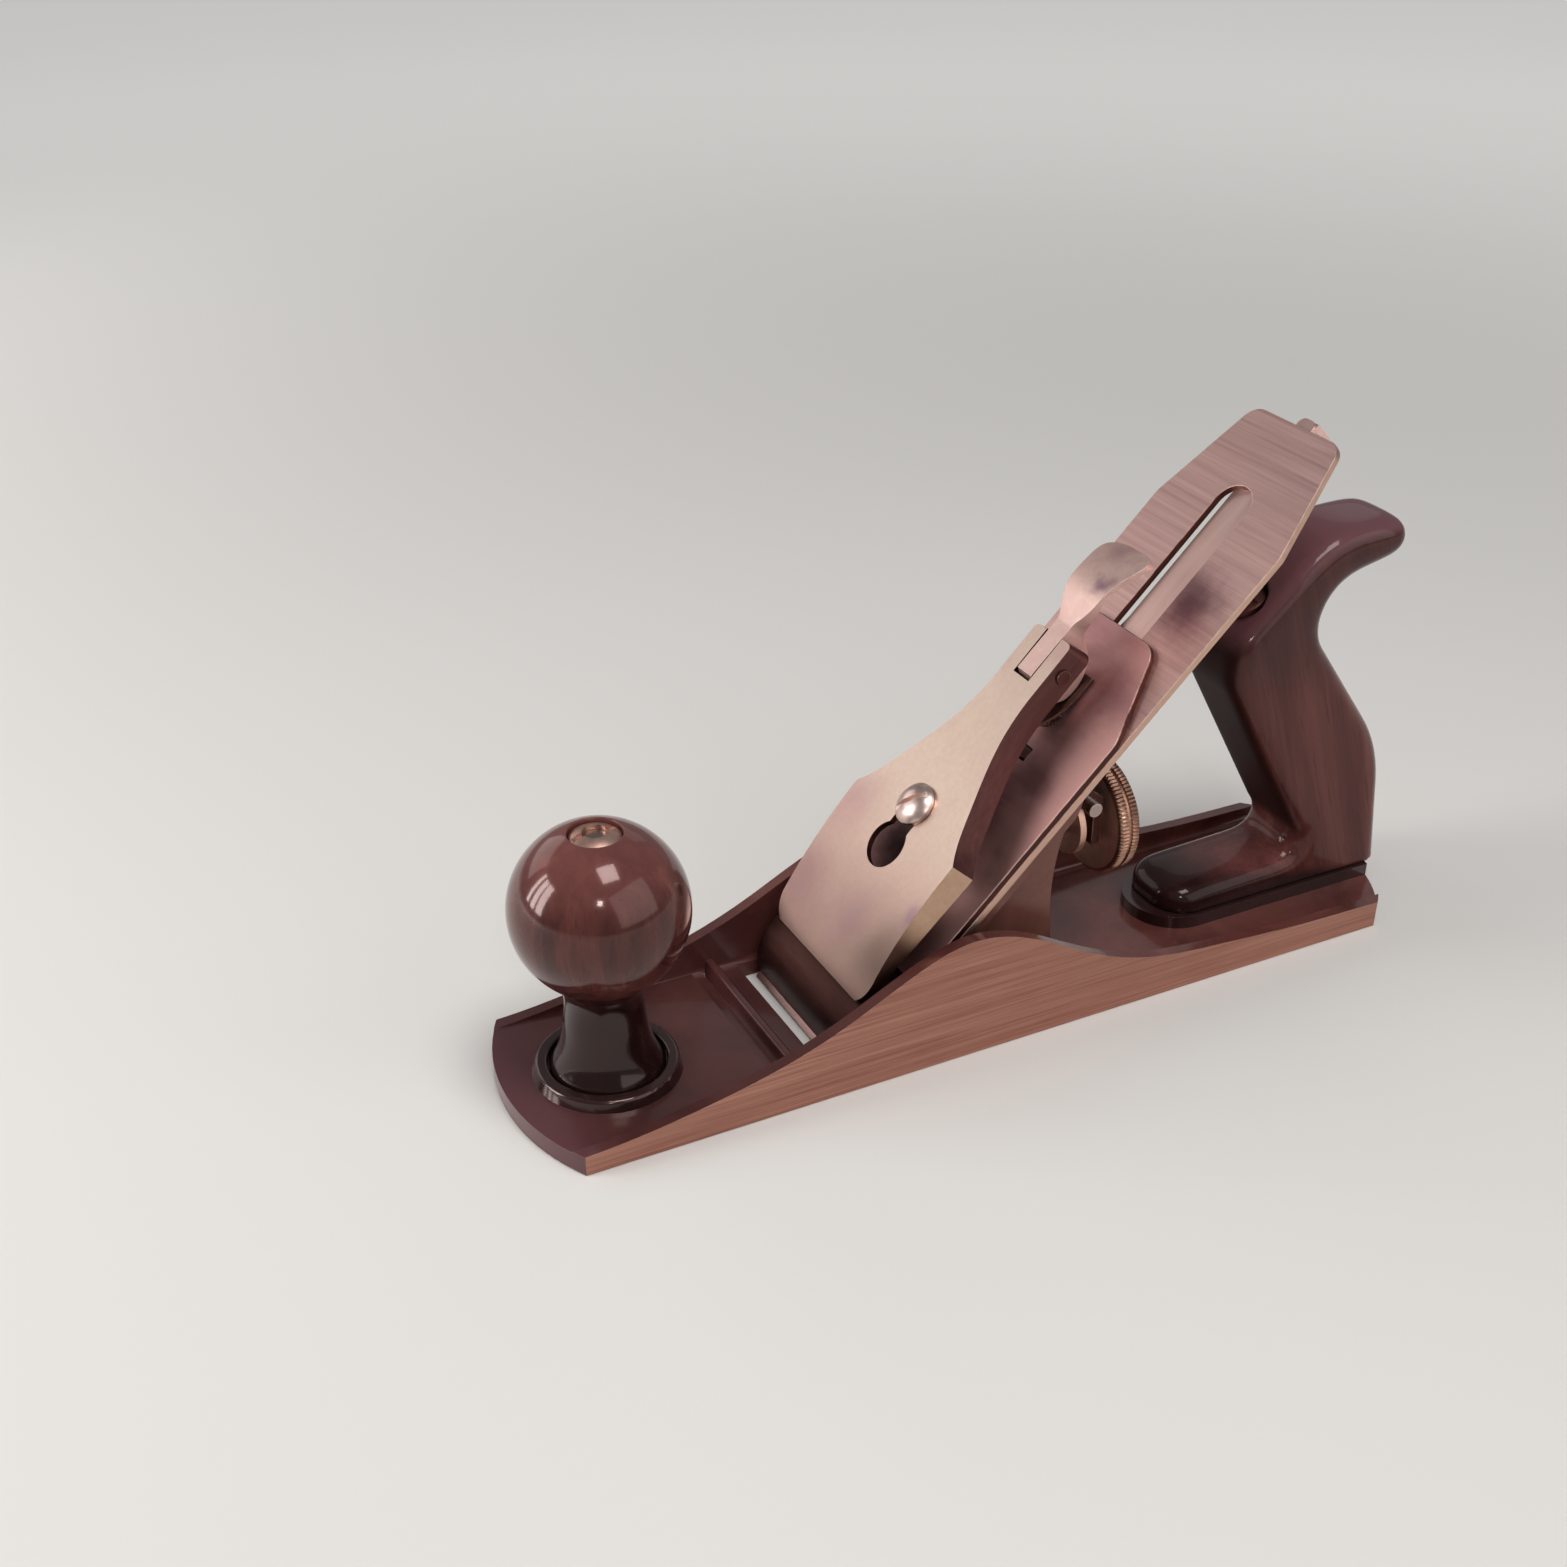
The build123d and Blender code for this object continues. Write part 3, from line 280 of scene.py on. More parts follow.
def makeCastGroup():
    # the slow waviness and fine orange peel of enamel over a sand casting
    group, inside, outside = newGroup("castSkin", [vectorInput], ["Height", "Cloud", "Specks"])
    vector = inside["Vector"]
    peel = addShare(group, addNoise(group, vector, "enamelPeel"), specks["peelShare"])
    height = addMath(group, "ADD", peel, addNoise(group, vector, "enamelWaves"))
    group.links.new(height, outside["Height"])
    group.links.new(addNoise(group, vector, "enamelCloud"), outside["Cloud"])
    values = {"Scale": specks["scale"], "Randomness": 1.0}
    cells = addNode(group, "ShaderNodeTexVoronoi", {"feature": "F1"}, values)
    group.links.new(vector, cells.inputs["Vector"])
    dots = addFall(group, cells.outputs["Distance"], specks["gain"])
    patches = addNoise(group, vector, "speckPatches")
    some = addMath(group, "GREATER_THAN", patches, specks["patchStart"])
    group.links.new(addMath(group, "MULTIPLY", dots, some), outside["Specks"])
    return group


timber = {"streakStart": 0.5, "streakGain": 4.0, "poreStart": 0.60, "poreGain": 9.0}


def makeWoodGroup():
    # straight figure with paler streaks and short dark pores, running along the vector's z
    group, inside, outside = newGroup("stainedWood", [
        vectorInput, ("Stretch", "NodeSocketVector", (1, 1, 0.1))],
        ["Figure", "Streaks", "Pores", "Cloud"])
    vector = addVector(group, "MULTIPLY", inside["Vector"], inside["Stretch"])[0]
    group.links.new(addNoise(group, vector, "woodFigure"), outside["Figure"])
    streaks = addNoise(group, vector, "woodStreaks")
    streaks = addRise(group, streaks, timber["streakStart"], timber["streakGain"])
    group.links.new(streaks, outside["Streaks"])
    pores = addNoise(group, vector, "woodPores")
    pores = addRise(group, pores, timber["poreStart"], timber["poreGain"])
    group.links.new(pores, outside["Pores"])
    group.links.new(addNoise(group, inside["Vector"], "woodCloud"), outside["Cloud"])
    return group


settling = {"start": 0.45, "gain": 2.0, "bare": 0.1}


def makeDustGroup():
    # a thin film that settles on faces that look up
    group, inside, outside = newGroup("settledDust", [
        vectorInput, ("Amount", "NodeSocketFloat", 0.1)], ["Mask"])
    parts = group.nodes.new("ShaderNodeSeparateXYZ")
    normal = group.nodes.new("ShaderNodeNewGeometry").outputs["Normal"]
    group.links.new(normal, parts.inputs["Vector"])
    upward = addRise(group, parts.outputs["Z"], settling["start"], settling["gain"])
    patch = addNoise(group, inside["Vector"], "dustPatches")
    patch = addMath(group, "ADD", patch, -settling["bare"])
    film = addMath(group, "MULTIPLY", upward, patch)
    group.links.new(addMath(group, "MULTIPLY", film, inside["Amount"], True), outside["Mask"])
    return group


spotDrift = 0.012   # metres by which a spot's border wanders


def makeSpotGroup():
    # a soft round patch of colour about a place, used mostly for painted shade and painted
    # highlights
    group, inside, outside = newGroup("softSpot", [
        vectorInput, ("Centre", "NodeSocketVector", (0, 0, 0)),
        ("Radius", "NodeSocketFloat", 0.01)], ["Mask"])
    distance = addVector(group, "DISTANCE", inside["Vector"], inside["Centre"])["Value"]
    drift = addShare(group, addDrift(group, inside["Vector"], "spotBorder"), spotDrift)
    ragged = addMath(group, "ADD", distance, drift)
    mask = addReach(group, ragged, None, inside["Radius"], {"To Min": 1.0, "To Max": 0.0})
    group.links.new(mask, outside["Mask"])
    return group


def makeFadeGroup():
    # rises from 0 to 1 between two places along a direction, with a cloudy border
    group, inside, outside = newGroup("placeFade", [
        vectorInput, ("Direction", "NodeSocketVector", (0, 0, 1)), ("From", "NodeSocketFloat", 0.0),
        ("To", "NodeSocketFloat", 0.01), ("Cloudy", "NodeSocketFloat", 0.0)], ["Mask"])
    along = addVector(group, "DOT_PRODUCT", inside["Vector"], inside["Direction"])["Value"]
    drift = addDrift(group, inside["Vector"], "fadeBorder")
    drift = addMath(group, "MULTIPLY", drift, inside["Cloudy"])
    place = addMath(group, "ADD", along, drift)
    group.links.new(addReach(group, place, inside["From"], inside["To"]), outside["Mask"])
    return group


def makeFacingGroup():
    # 1 where the surface looks along a direction, with a soft border
    group, inside, outside = newGroup("turnedTo", [
        ("Direction", "NodeSocketVector", (0, 0, 1)), ("From", "NodeSocketFloat", 0.5),
        ("To", "NodeSocketFloat", 0.8)], ["Mask"])
    normal = group.nodes.new("ShaderNodeNewGeometry").outputs["Normal"]
    along = addVector(group, "DOT_PRODUCT", normal, inside["Direction"])["Value"]
    group.links.new(addReach(group, along, inside["From"], inside["To"]), outside["Mask"])
    return group


groups = {"brushed": makeBrushedGroup(), "wearAndHighlight": makeWearGroup(), "cast": makeCastGroup(),
          "wood": makeWoodGroup(), "dust": makeDustGroup(), "fade": makeFadeGroup(),
          "spot": makeSpotGroup(), "facing": makeFacingGroup()}
print("shader groups ready:", len(groups))


def startMaterial(name, turn=(0, 0, 0)):
    # patterns read the object's own coordinates, turned to suit
    material = bpy.data.materials.new(name)
    material.use_nodes = True
    tree = material.node_tree
    place = tree.nodes.new("ShaderNodeTexCoord").outputs["Object"]
    mapping = addNode(tree, "ShaderNodeMapping", {"vector_type": "TEXTURE"}, {"Rotation": turn})
    tree.links.new(place, mapping.inputs["Vector"])
    return material, tree, tree.nodes["Principled BSDF"], mapping.outputs["Vector"], place


def setConstants(shader, values):
    for key, value in values.items():
        shader.inputs[key].default_value = value


def addGroup(tree, key, vector, values=None):
    node = addNode(tree, "ShaderNodeGroup", {"node_tree": groups[key]}, values)
    if vector is not None:
        tree.links.new(vector, node.inputs["Vector"])
    return node.outputs


def addFades(tree, place, colour, fades):
    # each fade is (direction, from, to, cloudiness, strength, colour), with places in metres
    for direction, start, end, cloudy, strength, tint in fades:
        values = {"Direction": direction, "From": start, "To": end, "Cloudy": cloudy}
        mask = addGroup(tree, "fade", place, values)["Mask"]
        colour = addLayer(tree, colour, mask, strength, tint)
    return colour


def addSpots(tree, place, colour, spots):
    # each spot is (centre, radius, strength, colour), in metres
    for centre, radius, strength, tint in spots:
        mask = addGroup(tree, "spot", place, {"Centre": centre, "Radius": radius})["Mask"]
        colour = addLayer(tree, colour, mask, strength, tint)
    return colour


aboveBorder = 6 * mm    # height over which a turned mask comes in


def addTurned(tree, place, direction, border, lowest):
    # a mask of what looks along a direction, above a height
    values = {"Direction": direction, "From": border[0], "To": border[1]}
    mask = addGroup(tree, "facing", None, values)["Mask"]
    above = addGroup(tree, "fade", place, {"From": lowest, "To": lowest + aboveBorder})["Mask"]
    return addMath(tree, "MULTIPLY", mask, above)


def addBump(tree, shader, height, strength, distance):
    bump = addNode(tree, "ShaderNodeBump", None, {"Strength": strength, "Distance": distance})
    tree.links.new(height, bump.inputs["Height"])
    tree.links.new(bump.outputs["Normal"], shader.inputs["Normal"])


warmTint = tone(236, 196, 192)   # the varnish and the enamel throw back a rosy light
# what a finish has unless it says otherwise
plainMetal = {"turn": (0, 0, 0), "wearAndHighlight": 0.5, "dust": 0.04, "dustTone": tone(186, 172, 160),
              "contrast": 0.5, "blotch": 0.25, "scratch": 0.15, "roughSpread": 0.16, "smudge": 0.08,
              "bump": 0.2, "bumpDepth": 0.04 * mm, "fades": (), "spots": ()}


def makeMetal(name, finish):
    # ground, brushed or plated metal: two tones along the grinding lines, worn edges that also
    # paint highlight lines, faint dust
    finish = {**plainMetal, **finish}
    material, tree, shader, vector, place = startMaterial(name, finish["turn"])
    grain = addGroup(tree, "brushed", vector, {"Stretch": finish["stretch"]})
    wearAndHighlight = addGroup(tree, "wearAndHighlight", vector, {"Amount": finish["wearAndHighlight"]})
    dust = addGroup(tree, "dust", vector, {"Amount": finish["dust"]})
    half = finish["contrast"] / 2
    spread = finish["roughSpread"]
    tones = [(0.5 - half, finish["low"]), (0.5 + half, finish["high"])]
    colour = addRamp(tree, grain["Lines"], tones)
    colour = addLayer(tree, colour, grain["Blotch"], finish["blotch"], finish["cloud"])
    colour = addLayer(tree, colour, grain["Scratches"], finish["scratch"], finish["high"])
    colour = addFades(tree, place, colour, finish["fades"])
    colour = addSpots(tree, place, colour, finish["spots"])
    colour = addMix(tree, wearAndHighlight["Mask"], colour, finish["edge"])
    colour = addMix(tree, dust["Mask"], colour, finish["dustTone"])
    tree.links.new(colour, shader.inputs["Base Color"])
    rough = addShare(tree, grain["Lines"], spread)
    rough = addMath(tree, "ADD", rough, finish["rough"] - spread / 2)
    smudges = addShare(tree, grain["Blotch"], finish["smudge"])
    tree.links.new(addMath(tree, "ADD", rough, smudges, True), shader.inputs["Roughness"])
    setConstants(shader, {"Metallic": 1.0})
    addBump(tree, shader, grain["Lines"], finish["bump"], finish["bumpDepth"])
    return material


plainEnamel = {"poolFrom": 0.32, "poolTo": 0.68, "speckShare": 0.25,
               "speckTone": tone(128, 100, 92), "dustTone": tone(150, 118, 108), "dustRough": 0.5,
               "roughSpread": 0.14, "coatRough": 0.07, "bump": 0.16, "bumpDepth": 0.12 * mm,
               "fades": (), "spots": ()}


def makeEnamel(name, finish):
    # glossy dark enamel: the colour pools a little, the edges wear to bare iron and also paint thin
    # highlight lines
    finish = {**plainEnamel, **finish}
    material, tree, shader, vector, place = startMaterial(name)
    skin = addGroup(tree, "cast", vector)
    wearAndHighlight = addGroup(tree, "wearAndHighlight", vector, {"Amount": finish["wearAndHighlight"]})
    dust = addGroup(tree, "dust", vector, {"Amount": finish["dust"]})
    spread = finish["roughSpread"]
    pools = [(finish["poolFrom"], finish["deep"]), (finish["poolTo"], finish["thin"])]
    colour = addRamp(tree, skin["Cloud"], pools)
    colour = addFades(tree, place, colour, finish["fades"])
    colour = addSpots(tree, place, colour, finish["spots"])
    colour = addLayer(tree, colour, skin["Specks"], finish["speckShare"], finish["speckTone"])
    colour = addMix(tree, wearAndHighlight["Mask"], colour, finish["edge"])
    colour = addMix(tree, dust["Mask"], colour, finish["dustTone"])
    tree.links.new(colour, shader.inputs["Base Color"])
    rough = addShare(tree, skin["Cloud"], spread)
    rough = addMath(tree, "ADD", rough, finish["rough"] - spread / 2)
    haze = addShare(tree, dust["Mask"], finish["dustRough"])
    tree.links.new(addMath(tree, "ADD", rough, haze, True), shader.inputs["Roughness"])
    setConstants(shader, {"Specular IOR Level": finish["specular"], "Specular Tint": warmTint,
                          "Coat Weight": finish["coat"], "Coat Roughness": finish["coatRough"]})
    addBump(tree, shader, skin["Height"], finish["bump"], finish["bumpDepth"])
    return material


plainWood = {"turn": (0, 0, 0), "figureStops": (0.32, 0.50, 0.68), "shadeShare": 0.45,
             "poreShare": 0.6, "wearAndHighlight": 0.2, "roughSpread": 0.12, "coatRough": 0.04, "bump": 0.08,
             "bumpDepth": 0.06 * mm, "frontBorder": (0.55, 0.80), "frontShare": 0.9,
             "frontRough": 0.3, "topBorder": (0.20, 0.75), "topShare": 0.85,
             "fades": (), "spots": ()}


def makeWood(name, finish):
    # stained hardwood under a thick clear varnish
    finish = {**plainWood, **finish}
    material, tree, shader, vector, place = startMaterial(name, finish["turn"])
    wood = addGroup(tree, "wood", vector, {"Stretch": finish["stretch"]})
    spread = finish["roughSpread"]
    stops = zip(finish["figureStops"], (finish["late"], finish["middle"], finish["early"]))
    colour = addRamp(tree, wood["Figure"], list(stops))
    colour = addLayer(tree, colour, wood["Streaks"], finish["streak"], finish["early"])
    colour = addLayer(tree, colour, wood["Cloud"], finish["shadeShare"], finish["shade"])
    colour = addLayer(tree, colour, wood["Pores"], finish["poreShare"], finish["late"])
    colour = addFades(tree, place, colour, finish["fades"])
    colour = addSpots(tree, place, colour, finish["spots"])
    rough = addShare(tree, wood["Cloud"], spread)
    rough = addMath(tree, "ADD", rough, finish["rough"] - spread / 2)
    setConstants(shader, {"Specular IOR Level": finish["specular"], "Specular Tint": warmTint,
                          "Coat Weight": finish["coat"], "Coat Roughness": finish["coatRough"]})
    if "front" in finish:
        # the strip that faces the bed gets painted shade and a dull varnish, and the top of the
        # horn a paler painted sheen
        shadeStripMask = addTurned(tree, place, (-1, 0, 0), finish["frontBorder"], finish["frontLow"])
        colour = addLayer(tree, colour, shadeStripMask, finish["frontShare"], finish["front"])
        rough = addMath(tree, "ADD", rough, addShare(tree, shadeStripMask, finish["frontRough"]))
        dulled = addMath(tree, "SUBTRACT", finish["coat"], addShare(tree, shadeStripMask, finish["coat"]))
        tree.links.new(dulled, shader.inputs["Coat Weight"])
        sheenCrownMask = addTurned(tree, place, (0, 0, 1), finish["topBorder"], finish["topLow"])
        colour = addLayer(tree, colour, sheenCrownMask, finish["topShare"], finish["top"])
    wearAndHighlight = addGroup(tree, "wearAndHighlight", vector, {"Amount": finish["wearAndHighlight"]})
    tree.links.new(addMix(tree, wearAndHighlight["Mask"], colour, finish["edge"]), shader.inputs["Base Color"])
    tree.links.new(rough, shader.inputs["Roughness"])
    addBump(tree, shader, wood["Figure"], finish["bump"], finish["bumpDepth"])
    return material


# finishes: base colours, so they are brighter than what the soft light shows of them
alongPlane = (14, 900, 900)
acrossPlane = (900, 14, 900)
slopeTurn = (0, -slope, 0)     # turns the pattern's x up the slope
metalFinishes = {
    "groundSide": {
        "low": tone(148, 100, 87), "high": tone(200, 152, 133), "cloud": tone(154, 104, 94),
        "edge": tone(220, 190, 168), "rough": 0.46, "stretch": (20, 1300, 1300), "contrast": 0.34,
        "blotch": 0.3, "scratch": 0.30, "bump": 0.4, "roughSpread": 0.2},
    "blade": {
        "low": tone(192, 152, 148), "high": tone(238, 200, 192), "cloud": tone(188, 146, 148),
        "edge": tone(244, 216, 202), "rough": 0.42, "stretch": acrossPlane, "turn": slopeTurn,
        "contrast": 0.5, "blotch": 0.35, "scratch": 0.3, "bump": 0.3,
        # painted shade: a mauve shadow patch beside the lever's tab, and a fainter one lower down
        "spots": [(onSlope(146, -11), 0.015, 0.85, tone(112, 70, 84)),
                  (onSlope(118, -18), 0.012, 0.35, tone(140, 96, 102))]},
    "bladeEdge": {
        "low": tone(190, 148, 134), "high": tone(226, 192, 172), "cloud": tone(196, 152, 136),
        "edge": tone(240, 218, 198), "rough": 0.34, "stretch": alongPlane, "turn": slopeTurn,
        "bump": 0.15},
    "capIron": {
        "low": tone(184, 134, 132), "high": tone(222, 174, 170), "cloud": tone(146, 98, 108),
        "edge": tone(222, 190, 174), "rough": 0.46, "stretch": (300, 60, 300), "turn": slopeTurn,
        "contrast": 0.6, "blotch": 0.5, "scratch": 0.1, "bump": 0.12,
        # painted light on the open near side; the spots are painted shade beside the skirt and
        # under the lever cap
        "fades": [((0, -1, 0), 0.006, 0.024, 0.006, 0.6, tone(244, 192, 184))],
        "spots": [(onSlope(116, -16, 1), 0.011, 0.55, tone(150, 100, 108)),
                  (onSlope(88, -10, 1), 0.010, 0.45, tone(122, 78, 82)),
                  (onSlope(62, -18, 1), 0.009, 0.45, tone(130, 84, 86)),
                  (onSlope(53, 14, 1), 0.019, 0.92, tone(38, 22, 23))]},
    # a dark copy of the cap iron: painted shade on its nose
    "capIronPaintedShade": {
        "low": tone(64, 38, 36), "high": tone(92, 60, 54), "cloud": tone(52, 32, 31),
        "edge": tone(190, 150, 134), "rough": 0.40, "stretch": (300, 60, 300), "turn": slopeTurn,
        "contrast": 0.6, "blotch": 0.5, "scratch": 0.1, "bump": 0.12, "wearAndHighlight": 0.3},
    # a dark copy: painted shade on the cap iron's sides, the blade's slot walls and the yoke
    "sideSteelPaintedShade": {
        "low": tone(70, 46, 42), "high": tone(98, 66, 60), "cloud": tone(60, 40, 38),
        "edge": tone(226, 180, 166), "rough": 0.44, "stretch": alongPlane, "turn": slopeTurn,
        "bump": 0.15},
    "nickel": {
        "low": tone(206, 184, 168), "high": tone(232, 211, 194), "cloud": tone(186, 150, 148),
        "edge": tone(250, 240, 228), "rough": 0.33, "stretch": (700, 700, 700), "turn": slopeTurn,
        "contrast": 0.6, "blotch": 0.42, "scratch": 0.05, "bump": 0.07, "roughSpread": 0.12,
        "fades": [(downSlope, -upBed(70), -upBed(34), 0.006, 0.62, tone(170, 132, 124)),
                  (downSlope, -upBed(34), -upBed(17), 0.006, 0.22, tone(140, 100, 92))],
        "spots": [(onSlope(55, 21, 17), 0.013, 0.50, tone(176, 130, 138)),
                  (onSlope(30, 20, 14), 0.015, 0.50, tone(166, 122, 128)),
                  (onSlope(43, -24, 16), 0.006, 0.60, tone(148, 112, 138)),
                  (onSlope(32, -4, 14), 0.012, 0.40, tone(168, 128, 138)),
                  (onSlope(117, -6, 18), 0.008, 0.45, tone(196, 152, 152)),
                  (onSlope(108, 9, 18), 0.007, 0.35, tone(196, 156, 156))]},
    # a dark copy of the nickel: painted shade on the skirt and the cam pin's end
    "capSkirtPaintedShade": {
        "low": tone(80, 50, 48), "high": tone(116, 78, 74), "cloud": tone(68, 42, 45),
        "edge": tone(232, 208, 190), "rough": 0.38, "stretch": (40, 420, 420), "turn": slopeTurn,
        "contrast": 0.6, "blotch": 0.4, "wearAndHighlight": 0.2, "bump": 0.12},
    # a copy of the nickel for the lowest facet, fading to painted shade at its low end
    "capFacetPaintedShade": {
        "low": tone(178, 142, 120), "high": tone(208, 176, 150), "cloud": tone(182, 146, 124),
        "edge": tone(240, 224, 204), "rough": 0.36, "stretch": (420, 60, 420), "turn": slopeTurn,
        "contrast": 0.7, "blotch": 0.2, "bump": 0.10,
        "fades": [(downSlope, -upBed(44), -upBed(34), 0.003, 0.93, tone(64, 38, 35))]},
    # a dark copy: painted shade on the walls of the key slot
    "keyholePaintedShade": {
        "low": tone(74, 46, 43), "high": tone(100, 66, 60), "cloud": tone(60, 38, 37),
        "edge": tone(236, 220, 204), "rough": 0.4, "stretch": (300, 300, 300), "wearAndHighlight": 0.3},
    "camSteel": {
        "low": tone(224, 190, 180), "high": tone(248, 222, 210), "cloud": tone(184, 142, 146),
        "edge": tone(250, 238, 226), "rough": 0.54, "stretch": (260, 260, 260), "turn": slopeTurn,
        "contrast": 0.6, "blotch": 0.5, "bump": 0.06,
        # mauve painted shade on the tab
        "spots": [(onSlope(136, -3, 20), 0.005, 0.75, tone(138, 100, 124)),
                  (onSlope(147, 3, 18), 0.009, 0.50, tone(176, 132, 136))]},
    "brass": {
        "low": tone(142, 102, 88), "high": tone(210, 168, 144), "cloud": tone(120, 82, 70),
        "edge": tone(238, 208, 178), "rough": 0.28, "stretch": (500, 500, 500), "blotch": 0.4,
        "bump": 0.1},
    "nutMetal": {
        "low": tone(190, 150, 138), "high": tone(224, 188, 172), "cloud": tone(164, 122, 112),
        "edge": tone(244, 222, 204), "rough": 0.36, "stretch": (500, 500, 500), "blotch": 0.3,
        "bump": 0.06},
    # a paler copy of the brass: painted light in the shade behind the frog
    "wheelFacePaintedLight": {
        "low": tone(228, 180, 162), "high": tone(250, 214, 194), "cloud": tone(190, 142, 128),
        "edge": tone(216, 180, 150), "rough": 0.46, "stretch": (500, 500, 500), "blotch": 0.4,
        "bump": 0.1},
    "capScrew": {
        "low": tone(216, 184, 176), "high": tone(246, 226, 216), "cloud": tone(184, 148, 146),
        "edge": tone(250, 240, 232), "rough": 0.27, "stretch": (320, 320, 320), "bump": 0.05},
    # a dark copy of the nut metal: painted shade where the nut sits in the horn
    "rearNutPaintedShade": {
        "low": tone(96, 62, 60), "high": tone(126, 84, 80), "cloud": tone(78, 50, 50),
        "edge": tone(176, 136, 128), "rough": 0.36, "stretch": (500, 500, 500), "bump": 0.06},
    "steel": {
        "low": tone(150, 130, 124), "high": tone(206, 188, 178), "cloud": tone(122, 102, 98),
        "edge": tone(236, 224, 212), "rough": 0.22, "stretch": (320, 320, 320), "bump": 0.06},
    "darkSteel": {
        "low": tone(84, 64, 60), "high": tone(122, 96, 88), "cloud": tone(68, 50, 48),
        "edge": tone(170, 146, 132), "rough": 0.38, "stretch": (320, 320, 320), "bump": 0.1},
    "latSteel": {
        "low": tone(232, 192, 184), "high": tone(252, 216, 208), "cloud": tone(208, 164, 160),
        "edge": tone(244, 230, 216), "rough": 0.32, "stretch": (40, 600, 600), "turn": slopeTurn,
        "bump": 0.12},
}
enamelFinishes = {
    "bodyEnamel": {
        # its pale worn edges also paint thin highlight lines along the rims
        "deep": tone(68, 36, 33), "thin": tone(112, 63, 58), "edge": tone(172, 124, 116),
        "rough": 0.20, "coat": 0.3, "specular": 0.5, "wearAndHighlight": 0.4, "dust": 0.05,
        # darker from the mouth forward, mauve at the toe end; the spots are painted shade round the
        # knob's foot and before the mouth
        "fades": [((-1, 0, 0), 0.020, 0.060, 0.02, 0.6, tone(62, 35, 36)),
                  ((-1, 0, 0), 0.104, 0.124, 0.008, 0.85, tone(92, 56, 62))],
        "spots": [((-0.098, -0.020, 0.005), 0.026, 0.45, tone(40, 23, 24)),
                  ((-0.060, 0.010, 0.005), 0.024, 0.35, tone(44, 26, 27))]},
    # enamel made paler: painted light in the shade under the iron
    "frogEnamelPaintedLight": {
        "deep": tone(96, 60, 51), "thin": tone(128, 84, 72), "edge": tone(150, 108, 94),
        "rough": 0.24, "coat": 0.25, "specular": 0.4, "wearAndHighlight": 0.3, "dust": 0.05},
    # near-black enamel: painted shade round the feet of knob and handle
    "blackEnamelPaintedShade": {
        "deep": tone(30, 16, 16), "thin": tone(48, 28, 29), "edge": tone(120, 88, 80),
        "rough": 0.16, "coat": 0.4, "specular": 0.6, "wearAndHighlight": 0.3, "dust": 0.04},
}
gripTurn = radians(-18)
gripTop = toteHigh.z - 0.026
footLine = toteLow.z + 0.2 * toteLow.x + 0.0105   # below this slanting line the foot takes painted shade, near black
knobNeck = knobLow.z + 0.024    # under the ball the neck takes painted shade, near black
knobTop = knobHigh.z - 0.002
woodFinishes = {
    "knobWood": {
        "late": tone(50, 24, 21), "middle": tone(78, 40, 36), "early": tone(104, 58, 51),
        "shade": tone(58, 30, 29), "edge": tone(128, 84, 72), "rough": 0.14, "streak": 0.18,
        "coat": 0.35, "specular": 0.45, "stretch": (1, 1, 0.12),
        "fades": [((0, 0, -1), -knobNeck - 0.007, -knobNeck, 0.002, 0.88, tone(18, 10, 10)),
                  # the top of the ball takes a paler painted sheen
                  ((0, 0, 1), knobTop - 0.014, knobTop, 0.004, 0.40, tone(140, 86, 82))]},
    "toteWood": {
        "late": tone(66, 32, 30), "middle": tone(92, 49, 45), "early": tone(116, 68, 61),
        "shade": tone(74, 42, 40), "edge": tone(140, 98, 86), "rough": 0.22, "streak": 0.3,
        "coat": 0.36, "specular": 0.1, "stretch": (1, 1, 0.05), "turn": (0, gripTurn, 0),
        # front: painted shade on the strip facing the bed; top: painted sheen on the horn's top
        "front": tone(40, 22, 20), "frontLow": toteLow.z + 0.014, "top": tone(112, 76, 82),
        "topLow": toteHigh.z - 0.034,
        # the upper grip and the horn take painted shade, with the painted sheen of the horn's top
        # laid over it
        "fades": [((0, 0, 1), gripTop - 0.024, gripTop, 0.010, 0.60, tone(52, 31, 30)),
                  ((-0.2, 0, -1), -footLine - 0.004, -footLine, 0.001, 0.9, tone(34, 20, 20))],
        # a paler painted highlight on the top of the foot
        "spots": [((toteLow.x + 0.026, 0, toteLow.z + 0.017), 0.024, 0.5, tone(122, 78, 78))]},
}
looks = {key: makeMetal(key, finish) for key, finish in metalFinishes.items()}
looks.update({key: makeEnamel(key, finish) for key, finish in enamelFinishes.items()})
looks.update({key: makeWood(key, finish) for key, finish in woodFinishes.items()})
print("finishes ready:", len(looks))

weld = 0.002 * mm       # corners closer than this are one corner
cutSlack = 0.001 * mm


def roundEdges(bm, settings):
    # rounds every crease and marks the rounding, so that its finish can show wear and painted
    # highlight lines
    rub = bm.faces.layers.float.new("rub")
    smoothest = radians(settings["crease"])
    joined = [edge for edge in bm.edges if len(edge.link_faces) == 2]
    creases = [edge for edge in joined if edge.calc_face_angle(0) > smoothest]
    rounded = bmesh.ops.bevel(bm, geom=creases, offset=settings["round"] * mm, offset_type="OFFSET",
                              segments=settings["segments"], profile=0.5, affect="EDGES",
                              clamp_overlap=True, material=-1, miter_outer="ARC")
    for face in rounded["faces"]:
        face[rub] = 1.0


